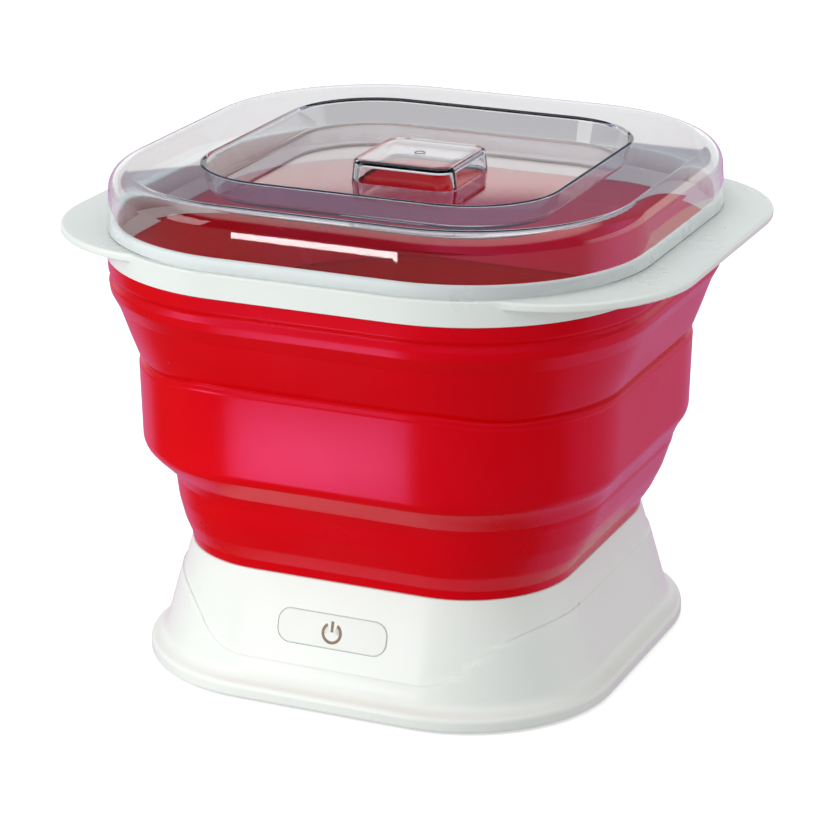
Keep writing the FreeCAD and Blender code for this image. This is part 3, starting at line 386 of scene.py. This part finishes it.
def soft_silicone(colour):
    """Platinum-cured silicone: satin, with a rosy sheen and a faint flow in its colour."""
    made = Finish("red_silicone_skin", colour, 0.24, Specular_IOR_Level=0.5, IOR=1.43)
    made.shader.inputs["Specular Tint"].default_value = (0.95, 0.26, 0.85, 1)
    made.vary_colour(9, shade(colour, 0.95), shade(colour, 1.03), (1, 1, 2.2))
    made.vary_roughness(22, 0.21, 0.28)
    made.bump(made.noise(900, 3), 0.006 * MM, 0.3)
    return made.material


def clear_plastic(tint):
    """Polished clear plastic that lets lamps through to what is under it."""
    made = Finish("clear_lid_plastic", tint, 0.015, Transmission_Weight=1.0, IOR=1.49,
                  Specular_IOR_Level=0.5)
    made.bump(made.noise(25, 2), 0.003 * MM, 0.2)
    through = made.nodes.new("ShaderNodeBsdfTransparent")
    through.inputs["Color"].default_value = (*shade(tint, 1.02), 1)
    path = made.nodes.new("ShaderNodeLightPath")
    mix = made.nodes.new("ShaderNodeMixShader")
    made.links.new(path.outputs["Is Shadow Ray"], mix.inputs[0])
    made.links.new(made.shader.outputs[0], mix.inputs[1])
    made.links.new(through.outputs[0], mix.inputs[2])
    made.links.new(mix.outputs[0], made.output.inputs["Surface"])
    return made.material


def worked_metal(name, colour, roughness, stretch, line_scale=120):
    """Metal with drawn or rolled lines along its stretch."""
    made = Finish(name, colour, roughness, Metallic=1.0)
    made.vary_colour(line_scale / 4, shade(colour, 0.9), shade(colour, 1.05), stretch)
    made.vary_roughness(line_scale, roughness - 0.06, roughness + 0.10, stretch)
    made.bump(made.noise(line_scale * 4, 2, stretch), 0.01 * MM, 0.4)
    return made.material


def fibrous(name, colour, roughness, scale, depth):
    """Woven, felted or laminated stuff with a clear grain."""
    made = Finish(name, colour, roughness)
    made.vary_colour(scale / 6, shade(colour, 0.85), shade(colour, 1.12))
    made.vary_roughness(scale / 3, roughness - 0.08, roughness + 0.08)
    made.bump(made.noise(scale, 5), depth, 0.7)
    return made.material


def hidden_finishes():
    """Finishes of the pieces inside and under the base, by slot."""
    flat = (1, 1, 1)
    return {
        "plate_aluminium": worked_metal("plate_aluminium_brushed", (0.62, 0.63, 0.64), 0.32, (1, 14, 1)),
        "shield_steel": worked_metal("shield_steel_rolled", (0.55, 0.56, 0.57), 0.38, (14, 1, 1)),
        "screw_steel": worked_metal("screw_steel_zinc", (0.60, 0.60, 0.58), 0.30, flat, 400),
        "can_aluminium": worked_metal("can_aluminium_drawn", (0.66, 0.67, 0.68), 0.28, (1, 1, 9), 300),
        "pin_brass": worked_metal("pin_brass_turned", (0.70, 0.52, 0.25), 0.25, (1, 9, 1), 400),
        "heater_mat": fibrous("heater_mat_printed", (0.30, 0.09, 0.02), 0.45, 500, 0.03 * MM),
        "insulation": fibrous("insulation_felt", (0.66, 0.64, 0.58), 0.92, 700, 0.25 * MM),
        "board_laminate": fibrous("board_laminate_green", (0.02, 0.13, 0.05), 0.38, 1500, 0.01 * MM),
        "winding_tape": fibrous("winding_tape_yellow", (0.55, 0.40, 0.05), 0.40, 600, 0.03 * MM),
        "sensor_epoxy": fibrous("sensor_epoxy_beige", (0.45, 0.38, 0.26), 0.35, 900, 0.02 * MM),
        "foot_rubber": fibrous("foot_rubber_grey", (0.33, 0.34, 0.34), 0.80, 1200, 0.03 * MM),
        "clamp_plastic": moulded_plastic("clamp_plastic_grey", (0.30, 0.31, 0.32), 0.42),
        "cover_plastic": moulded_plastic("cover_plastic_white", (0.74, 0.75, 0.72), 0.42, 0.03 * MM),
        "component_black": moulded_plastic("component_black_case", (0.02, 0.02, 0.022), 0.35),
        "fuse_body": moulded_plastic("fuse_body_cream", (0.72, 0.68, 0.55), 0.30),
        "inlet_black": moulded_plastic("inlet_black_case", (0.018, 0.018, 0.02), 0.38, 0.03 * MM),
        "lead_sleeve": moulded_plastic("lead_sleeve_blue", (0.03, 0.12, 0.42), 0.40),
    }


# ================================================================ the pieces
def smooth(value):
    value = min(1.0, max(0.0, value))
    return value * value * (3 - 2 * value)


def settle(bm, amount):
    """Let the soft tub's upper crease rise along its front and back and dip everywhere else."""
    above = CONE_TOP + SETTLE_PAST_CONE - BAND_TOP
    below = BAND_TOP - (BAND_FOOT + SETTLE_OVER_FOOT)
    for vert in bm.verts:
        rise = vert.co.z - BAND_TOP
        near = smooth(1 - rise / above if rise > 0 else 1 + rise / below)
        angle = math.degrees(math.atan2(abs(vert.co.x), abs(vert.co.y)))
        vert.co.z += amount * near * (1 - DIP_DEPTH * smooth((angle - DIP_START) / DIP_SPREAD))


def lean(bm, amount):
    """Let the soft tub's lower fold lean to the right between the neck and the band."""
    peak = BAND_FOOT - LEAN_PEAK_DROP
    for vert in bm.verts:
        if vert.co.z > peak:
            near = smooth(1 - (vert.co.z - peak) / LEAN_FADE)
        else:
            near = max(0.0, (vert.co.z - NECK_TOP) / (peak - NECK_TOP)) ** LEAN_CURVE
        vert.co.x += amount * near


def make_tub_upper(shape, material):
    """Collar with its bead and groove, and the upper web down to its crease."""
    wall = shape.tub_wall
    tongue = RING_HALF + 0.1 * MM
    under = SKIRT_BOTTOM - 0.1 * MM
    outer = [
        (COLLAR_HALF - 1.9 * MM, COLLAR_TOP, 0, 1),
        (COLLAR_HALF - 1.9 * MM, under, 0, 1),
        (COLLAR_HALF, under, 0.35 * MM, 3),
        (COLLAR_HALF - 0.3 * MM, under - 5.6 * MM, 1.8 * MM, 6),
        (COLLAR_HALF - 1.9 * MM, under - 7.9 * MM, 1.2 * MM, 6),
        (COLLAR_HALF - 0.4 * MM, under - 10.4 * MM, 1.6 * MM, 6),
        (COLLAR_HALF - 0.9 * MM, under - 14.0 * MM, 2.4 * MM, 8),
        (CONE_HALF + 0.2 * MM, CONE_TOP + 0.6 * MM, 3.0 * MM, 6),
        ((CONE_HALF + BAND_HALF) / 2 + 0.2 * MM, (CONE_TOP + BAND_TOP) / 2 + 1 * MM, 25 * MM, 8),
        (BAND_HALF + 0.2 * MM, BAND_TOP + 2.0 * MM, 1.6 * MM, 4),
        (BAND_HALF - 1.3 * MM, BAND_TOP, 0, 1),
    ]
    inner = [
        (BAND_HALF - 1.3 * MM - wall, BAND_TOP, 0, 1),
        (CONE_HALF - wall, CONE_TOP, 6 * MM, 6),
        (tongue - 1.2 * MM, under - 12 * MM, 2 * MM, 5),
        (tongue + 0.1 * MM, bottom_of("retaining_ring") - 1 * MM, 2 * MM, 5),
        (tongue + 0.1 * MM, COLLAR_TOP, 0, 1),
    ]
    bm = bmesh.new()
    wire = section(bm, outer + inner, -shape.corner_centre, True)
    wire = split_long(bm, wire, 1.6 * MM)
    carry_round(bm, wire, shape.corner_centre, shape.corner_steps, 12)
    settle(bm, shape.tub_settle)
    piece = finish_piece(bm, "tub_upper", material)
    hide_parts("silicone_collar", "silicone_upper_fold")
    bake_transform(piece)


def make_tub_lower(shape, material):
    """Middle band, lower web and the neck that seals on the base."""
    wall = shape.tub_wall
    neck_inner = half_of("heater_plate") + 0.2 * MM
    web = BAND_FOOT - NECK_TOP
    outer = [
        (BAND_HALF - 1.3 * MM, BAND_TOP, 0, 1),
        (BAND_HALF - 0.3 * MM, BAND_TOP - 1.0 * MM, 0.4 * MM, 4),
        (BAND_HALF - 0.3 * MM, BAND_TOP - 2.6 * MM, 0.3 * MM, 3),
        (BAND_HALF, BAND_TOP - 3.4 * MM, 0.6 * MM, 4),
        (BAND_HALF - 0.9 * MM, BAND_FOOT + 14 * MM, 7 * MM, 10),
        (BAND_HALF - 9.3 * MM, BAND_FOOT + 3.6 * MM, 1.8 * MM, 6),
        (BAND_FOOT_HALF + 2.2 * MM, BAND_FOOT - 0.8 * MM, 1.6 * MM, 6),
        (BAND_FOOT_HALF + 0.2 * MM, NECK_TOP + 0.62 * web, 14 * MM, 8),
        (BAND_FOOT_HALF - 3.0 * MM, NECK_TOP + 0.28 * web, 14 * MM, 8),
        (NECK_HALF + 0.5 * MM, NECK_TOP + 0.6 * MM, 3 * MM, 6),
        (NECK_HALF - 0.35 * MM, DECK_LEVEL + 0.12 * MM, 0.4 * MM, 3),
    ]
    inner = [(half - wall, height, radius, segments)
             for half, height, radius, segments in reversed(outer[:-1])]
    foot = [
        (neck_inner, DECK_LEVEL + 0.15 * MM, 0, 1),
        (neck_inner, DECK_LEVEL + 1.6 * MM, 1.0 * MM, 4),
    ]
    bm = bmesh.new()
    wire = section(bm, outer + foot + inner, -shape.corner_centre, True)
    wire = split_long(bm, wire, 1.8 * MM)
    carry_round(bm, wire, shape.corner_centre, shape.corner_steps, 12)
    settle(bm, shape.tub_settle)
    lean(bm, shape.tub_sway)
    piece = finish_piece(bm, "tub_lower", material)
    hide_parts("silicone_middle_band", "silicone_lower_fold")
    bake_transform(piece)


def make_lid(shape, material):
    """One clear shell: lip, shoulder, sunken well and the hollow knob in its middle."""
    wall = shape.lid_wall
    centre = shape.corner_centre
    shoulder_top = LID_TOP - LID_CROWN
    floor = LID_TOP - shape.well_depth
    floor_half = shape.well_half - WELL_TAPER
    core = (centre + floor_half) / 2
    outline = [
        (core, floor, 0, 1),
        (floor_half, floor, 1.6 * MM, 6),
        (shape.well_half, LID_TOP, 1.5 * MM, 8),
        (LID_HALF - LID_DRAFT, shoulder_top, 8.5 * MM, 16),
        (LID_HALF, LID_LIP, 0.5 * MM, 4),
        (LID_HALF - wall, LID_LIP, 0.5 * MM, 4),
        (LID_HALF - LID_DRAFT - wall, shoulder_top - wall, 6.8 * MM, 16),
        (shape.well_half + wall, LID_TOP - wall, 0.6 * MM, 4),
        (floor_half + wall, floor - wall, 3.2 * MM, 8),
        (core, floor - wall, 0, 1),
    ]
    bm = bmesh.new()
    wire = section(bm, outline, -centre, False)
    carry_round(bm, wire, centre, shape.corner_steps)
    knob_top = floor + KNOB_HEIGHT
    half = shape.knob_half
    shells = (((half, floor), knob_top, 1.5 * MM, 8),
              ((half - KNOB_WALL, floor - wall), knob_top - KNOB_WALL, 1.0 * MM, 5))
    for (foot_half, foot), top, edge, edge_steps in shells:
        shell = bmesh.new()
        wire = section(shell, [(foot_half, foot, 0, 1), (foot_half - KNOB_DRAFT, top, edge, edge_steps),
                               (KNOB_CENTRE + KNOB_DRAFT, top, 0, 1)], -KNOB_CENTRE, False)
        carry_round(shell, wire, KNOB_CENTRE, shape.corner_steps)
        copy_into(shell, bm)
    for level, facing in ((floor, 1), (floor - wall, -1), (knob_top, 1), (knob_top - KNOB_WALL, -1)):
        open_edges = [e for e in bm.edges if e.is_boundary
                      and abs(e.verts[0].co.z - level) < MERGE_DISTANCE]
        bmesh.ops.triangle_fill(bm, use_beauty=True, edges=open_edges, normal=(0, 0, facing))
    add_gate_mark(bm, knob_top)
    piece = finish_piece(bm, "lid_shell", material, "lid", crease=30)
    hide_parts("clear_lid")


def copy_into(source, target):
    """Add one bmesh to another and free it."""
    mesh = bpy.data.meshes.new("part")
    source.to_mesh(mesh)
    source.free()
    target.from_mesh(mesh)
    bpy.data.meshes.remove(mesh)


def make_button_skirt(shape, material):
    """Thin plate behind the button's edge that makes the gap round it a shallow shadow line."""
    half_x, half_y, radius = (size + SKIRT_MARGIN for size in BUTTON_OUTLINE)
    bm = bmesh.new()
    low = -shape.button_gap - SKIRT_THICKNESS
    outline = [(half_x, half_y), (-half_x, half_y), (-half_x, -half_y), (half_x, -half_y)]
    corners = [bm.verts.new((x, y, low)) for x, y in outline]
    for i in range(4):
        bm.edges.new((corners[i - 1], corners[i]))
    for corner in corners:
        bmesh.ops.bevel(bm, geom=[corner], offset=radius, offset_type="OFFSET", segments=12, profile=0.5,
                        affect="VERTICES", material=-1, clamp_overlap=False)
    plate = bmesh.ops.edgeloop_fill(bm, edges=list(bm.edges))["faces"]
    grown = bmesh.ops.extrude_face_region(bm, geom=plate)["geom"]
    raised = [g for g in grown if isinstance(g, bmesh.types.BMVert)]
    bmesh.ops.translate(bm, vec=(0, 0, SKIRT_THICKNESS), verts=raised)
    tilt = Matrix.Rotation(QUARTER - shape.front_lean, 4, "X")
    place = Matrix.Translation(Vector((0, -shape.button_reach, shape.button_height))) @ tilt
    bmesh.ops.transform(bm, matrix=place, verts=list(bm.verts))
    finish_piece(bm, "button_skirt", material, "button")


def add_gate_mark(bm, level):
    """Small raised ring left by the mould on the knob's top."""
    ring = bmesh.new()
    low, high = level - GATE_SINK, level + GATE_RISE
    wire = section(ring, [(GATE_OUTER, low, 0, 1), (GATE_OUTER, high, GATE_EDGE, 2),
                          (GATE_INNER, high, GATE_EDGE, 2), (GATE_INNER, low, 0, 1)], 0, True)
    ends = list(ring.verts)
    bmesh.ops.spin(ring, geom=ends + wire, cent=(0, 0, 0), axis=(0, 0, 1), angle=2 * math.pi, steps=40,
                   use_merge=True)
    copy_into(ring, bm)


# ================================================================ operators, one for each piece or group
class YM_OT_tub(bpy.types.Operator):
    """Model the silicone tub as an upper and a lower piece"""

    bl_idname = "yogurt_maker.tub"
    bl_label = "Tub"

    def execute(self, context):
        scene = context.scene
        material = soft_silicone(tuple(scene.ym_finish.silicone))
        make_tub_upper(scene.ym_shape, material)
        make_tub_lower(scene.ym_shape, material)
        paint("silicone_neck", material)
        return {"FINISHED"}


class YM_OT_lid(bpy.types.Operator):
    """Model the clear lid with its sunken well and knob"""

    bl_idname = "yogurt_maker.lid"
    bl_label = "Lid"

    def execute(self, context):
        scene = context.scene
        make_lid(scene.ym_shape, clear_plastic(tuple(scene.ym_finish.clear_tint)))
        return {"FINISHED"}


class YM_OT_white_parts(bpy.types.Operator):
    """Give the base casing, the rim and its ring their smooth white plastic"""

    bl_idname = "yogurt_maker.white_parts"
    bl_label = "Base and Rim"

    def execute(self, context):
        white = tuple(context.scene.ym_finish.plastic)
        casing = moulded_plastic("white_casing_plastic", white, 0.34)
        rim = moulded_plastic("white_rim_plastic", white, 0.30)
        merged_copy("base_casing", "base_shell", casing, "base")
        merged_copy("rim_frame", "rim_and_tabs", rim, "rim")
        merged_copy("retaining_ring", "rim_inner_ring", rim, "rim")
        return {"FINISHED"}


class YM_OT_button(bpy.types.Operator):
    """Give the button and its power symbol their finishes"""

    bl_idname = "yogurt_maker.button"
    bl_label = "Button"

    def execute(self, context):
        finish = context.scene.ym_finish
        # the button's white is the base plastic darkened by 0.94 as painted shade, to offset the front card's
        # light on it
        cap = moulded_plastic("button_plastic_painted_shade", shade(finish.plastic, 0.94), 0.32)
        merged_copy("power_button", "button_cap", cap, "button")
        make_button_skirt(context.scene.ym_shape, cap)
        bronze = Finish("bronze_icon_paint", tuple(finish.bronze), 0.50, Specular_IOR_Level=0.3)
        bronze.vary_colour(600, shade(finish.bronze, 0.85), shade(finish.bronze, 1.15))
        bronze.vary_roughness(500, 0.34, 0.46)
        bronze.bump(bronze.noise(2500, 2), 0.01 * MM, 0.5)
        merged_copy("power_icon", "power_symbol", bronze.material, "button")
        return {"FINISHED"}


class YM_OT_hidden_parts(bpy.types.Operator):
    """Give every piece inside and under the base its finish"""

    bl_idname = "yogurt_maker.hidden_parts"
    bl_label = "Inside and Underside"

    def execute(self, context):
        finishes = hidden_finishes()
        for slot, nodes in HIDDEN_PIECES.items():
            for node in nodes:
                paint(node, finishes[slot])
        return {"FINISHED"}


class YM_OT_studio(bpy.types.Operator):
    """Set up the white floor, the lights and the camera"""

    bl_idname = "yogurt_maker.studio"
    bl_label = "Studio"

    def execute(self, context):
        studio = context.scene.ym_studio
        make_floor(studio)
        make_surroundings(studio)
        make_lights(studio)
        make_camera(studio)
        context.scene.view_settings.view_transform = "Standard"
        return {"FINISHED"}


HIDDEN_PIECES = {
    "plate_aluminium": ["heater_plate"],
    "shield_steel": ["heat_shield"],
    "screw_steel": ["cover_screws", "clamp_nuts", "board_screws"],
    "can_aluminium": ["filter_capacitor"],
    "pin_brass": ["inlet_pins"],
    "heater_mat": ["heating_element"],
    "insulation": ["insulation_pad"],
    "board_laminate": ["main_board", "switch_board"],
    "winding_tape": ["transformer"],
    "sensor_epoxy": ["thermistor"],
    "foot_rubber": ["rubber_feet"],
    "clamp_plastic": ["clamp_ring"],
    "cover_plastic": ["bottom_cover"],
    "component_black": ["relay", "tact_switch"],
    "fuse_body": ["thermal_fuse"],
    "inlet_black": ["inlet_socket"],
    "lead_sleeve": ["wiring"],
}


def paint(node, material):
    """Put a finish on a frame node's material slots."""
    piece = NODES[node]
    if not piece.material_slots:
        piece.data.materials.append(material)
    for slot in piece.material_slots:
        slot.material = material


# ================================================================ the studio
def make_floor(studio):
    bm = bmesh.new()
    bmesh.ops.create_grid(bm, x_segments=1, y_segments=1, size=6)
    mesh = bpy.data.meshes.new("floor")
    bm.to_mesh(mesh)
    bm.free()
    floor = bpy.data.objects.new("floor", mesh)
    bpy.context.scene.collection.objects.link(floor)
    white = Finish("floor_white", (0.93, 0.93, 0.93), 0.9, Specular_IOR_Level=0.0,
                   Emission_Color=(1, 1, 1, 1), Emission_Strength=studio.floor_glow)
    white.vary_roughness(3, 0.85, 0.95)
    bounce = white.nodes.new("ShaderNodeBsdfDiffuse")
    bounce.inputs["Color"].default_value = (*(3 * [studio.floor_bounce]), 1)
    path = white.nodes.new("ShaderNodeLightPath")
    mix = white.nodes.new("ShaderNodeMixShader")
    white.links.new(path.outputs["Is Camera Ray"], mix.inputs[0])
    white.links.new(bounce.outputs[0], mix.inputs[1])
    white.links.new(white.shader.outputs[0], mix.inputs[2])
    white.links.new(mix.outputs[0], white.output.inputs["Surface"])
    mesh.materials.append(white.material)
    floor.visible_glossy = False


class Wiring:
    """Short helpers for the surroundings' node tree."""

    def __init__(self, tree):
        self.nodes, self.links = tree.nodes, tree.links

    def feed(self, socket, value):
        if isinstance(value, bpy.types.NodeSocket):
            self.links.new(value, socket)
        else:
            socket.default_value = value

    def math(self, operation, first, second):
        node = self.nodes.new("ShaderNodeMath")
        node.operation = operation
        self.feed(node.inputs[0], first)
        self.feed(node.inputs[1], second)
        return node.outputs[0]

    def mix(self, factor, first, second):
        """Two colours mixed by a factor."""
        node = self.nodes.new("ShaderNodeMix")
        node.data_type = "RGBA"
        for name, colour in (("A", first), ("B", second)):
            self.feed(node.inputs[name], (*colour, 1) if isinstance(colour, tuple) else colour)
        self.links.new(factor, node.inputs["Factor"])
        return node.outputs["Result"]

    def toward(self, direction, aim):
        """How directly a direction points at an aim, from -1 to 1."""
        node = self.nodes.new("ShaderNodeVectorMath")
        node.operation = "DOT_PRODUCT"
        node.inputs[1].default_value = Vector(aim).normalized()
        self.links.new(direction, node.inputs[0])
        return node.outputs["Value"]

    def ramp(self, value, start, end, low, high):
        """A smooth step from low to high as a value goes from start to end."""
        node = self.nodes.new("ShaderNodeMapRange")
        node.interpolation_type = "SMOOTHSTEP"
        for socket, number in zip(RANGE_SOCKETS, (start, end, low, high)):
            node.inputs[socket].default_value = number
        self.links.new(value, node.inputs["Value"])
        return node.outputs["Result"]


def make_surroundings(studio):
    """White surroundings: darker at the front right, and with a backdrop and a top light in reflections."""
    world = bpy.data.worlds.new("studio_surroundings")
    world.use_nodes = True
    wires = Wiring(world.node_tree)
    background = next(n for n in wires.nodes if n.type == "BACKGROUND")
    direction = wires.nodes.new("ShaderNodeTexCoord").outputs["Generated"]
    path = wires.nodes.new("ShaderNodeLightPath").outputs

    away = wires.toward(direction, (0.80, -0.60, 0.0))
    fill = wires.math("MULTIPLY", wires.ramp(away, 0.0, 0.9, 1.0, studio.shade), studio.fill)

    height = wires.toward(direction, (0, 0, 1))
    behind = wires.toward(direction, (0.1, 1.0, 0.0))
    through = path["Is Transmission Ray"]
    low = wires.math("MAXIMUM", wires.ramp(height, *HORIZON, studio.floor_reflection, 1.0), through)
    backdrop = wires.math("MULTIPLY", wires.ramp(behind, 0.10, 0.30, 0.0, 1.0),
                          wires.ramp(height, *BACKDROP_EDGE, 1.0, 0.22))
    overhead = wires.ramp(height, *OVERHEAD_EDGE, 0.0, 1.2)
    front = wires.math("MULTIPLY", wires.math("ADD", wires.math("MULTIPLY", through, THROUGH_GAIN), 1.0),
                       studio.front_reflection)
    reflected = wires.math("ADD", wires.math("MAXIMUM", wires.math("MULTIPLY", backdrop, low), overhead),
                           front)

    mirrored = wires.math("MULTIPLY", path["Is Glossy Ray"],
                          wires.math("LESS_THAN", path["Diffuse Depth"], 0.5))
    lit = wires.math("MULTIPLY", fill, wires.math("SUBTRACT", 1.0, mirrored))
    surroundings = wires.math("ADD", lit, wires.math("MULTIPLY", reflected, mirrored))
    camera = path["Is Camera Ray"]
    strength = wires.math("ADD", wires.math("MULTIPLY", surroundings, wires.math("SUBTRACT", 1.0, camera)),
                          camera)
    wires.links.new(strength, background.inputs["Strength"])
    rosy = wires.math("MULTIPLY", wires.math("MULTIPLY", mirrored, wires.math("SUBTRACT", 1.0, through)),
                      wires.ramp(height, *HORIZON, 1.0, 0.0))
    cool = wires.mix(wires.ramp(strength, 0.1, 0.7, 0.0, 1.0), (0.45, 0.58, 1.0), (1, 1, 1))
    wires.links.new(wires.mix(rosy, cool, (1.0, 0.50, 0.95)), background.inputs["Color"])
    bpy.context.scene.world = world


def make_area_light(name, place, target, size, power):
    """Rectangular softbox at a place, facing a target, unseen by the camera."""
    light = bpy.data.lights.new(name, "AREA")
    light.shape = "RECTANGLE"
    light.size, light.size_y = size
    light.energy = power
    lamp = bpy.data.objects.new(name, light)
    lamp.location = place
    lamp.rotation_mode = "QUATERNION"
    lamp.rotation_quaternion = (Vector(target) - Vector(place)).to_track_quat("-Z", "Y")
    lamp.visible_camera = False
    lamp.visible_transmission = False
    bpy.context.scene.collection.objects.link(lamp)


def make_lights(studio):
    for name, place, target, size, power in (
            ("key_softbox", (-0.55, -0.60, 0.42), (0.0, -0.08, 0.11), (0.35, 0.35), studio.key),
            ("front_card", (-0.077, -0.270, 0.033), (-0.077, 0.0, 0.045), (0.098, 0.046), studio.front),
            ("lid_strip", (-0.186, -0.561, 0.121), (-0.186, 0.0, 0.121), (0.132, 0.012), studio.strip)):
        make_area_light(name, place, target, size, power)


def make_camera(studio):
    back = Vector((math.sin(studio.azimuth) * math.cos(studio.elevation),
                   -math.cos(studio.azimuth) * math.cos(studio.elevation),
                   math.sin(studio.elevation)))
    lens = bpy.data.cameras.new("camera")
    lens.lens = studio.lens
    lens.sensor_width = 36
    lens.shift_y = CAMERA_SHIFT
    lens.clip_start = 0.05
    lens.clip_end = 30
    camera = bpy.data.objects.new("camera", lens)
    camera.location = Vector((0, 0, studio.target_height)) + back * studio.distance
    camera.rotation_mode = "QUATERNION"
    camera.rotation_quaternion = (-back).to_track_quat("-Z", "Y")
    bpy.context.scene.collection.objects.link(camera)
    bpy.context.scene.camera = camera


# ================================================================ panel and registration
class YM_PT_panel(bpy.types.Panel):
    """Sizes, colours and build steps of the yogurt maker"""

    bl_idname = "YM_PT_panel"
    bl_label = "Yogurt Maker"
    bl_space_type = "VIEW_3D"
    bl_region_type = "UI"
    bl_category = "Yogurt Maker"

    def draw(self, context):
        layout = self.layout
        for group in (context.scene.ym_shape, context.scene.ym_finish, context.scene.ym_studio):
            box = layout.box()
            for name in group.__annotations__:
                box.prop(group, name)
        for operator in OPERATORS:
            layout.operator(operator.bl_idname)


GROUPS = {"ym_shape": YM_PG_shape, "ym_finish": YM_PG_finish, "ym_studio": YM_PG_studio}
OPERATORS = (YM_OT_white_parts, YM_OT_button, YM_OT_tub, YM_OT_lid, YM_OT_hidden_parts, YM_OT_studio)


def register():
    for cls in (*GROUPS.values(), *OPERATORS, YM_PT_panel):
        bpy.utils.register_class(cls)
    for name, group in GROUPS.items():
        setattr(bpy.types.Scene, name, PointerProperty(type=group))


def unregister():
    for name in GROUPS:
        delattr(bpy.types.Scene, name)
    for cls in reversed((*GROUPS.values(), *OPERATORS, YM_PT_panel)):
        bpy.utils.unregister_class(cls)


def main():
    register()
    bpy.ops.yogurt_maker.white_parts()
    bpy.ops.yogurt_maker.button()
    bpy.ops.yogurt_maker.tub()
    bpy.ops.yogurt_maker.lid()
    bpy.ops.yogurt_maker.hidden_parts()
    bpy.ops.yogurt_maker.studio()


if __name__ == "__main__":
    main()
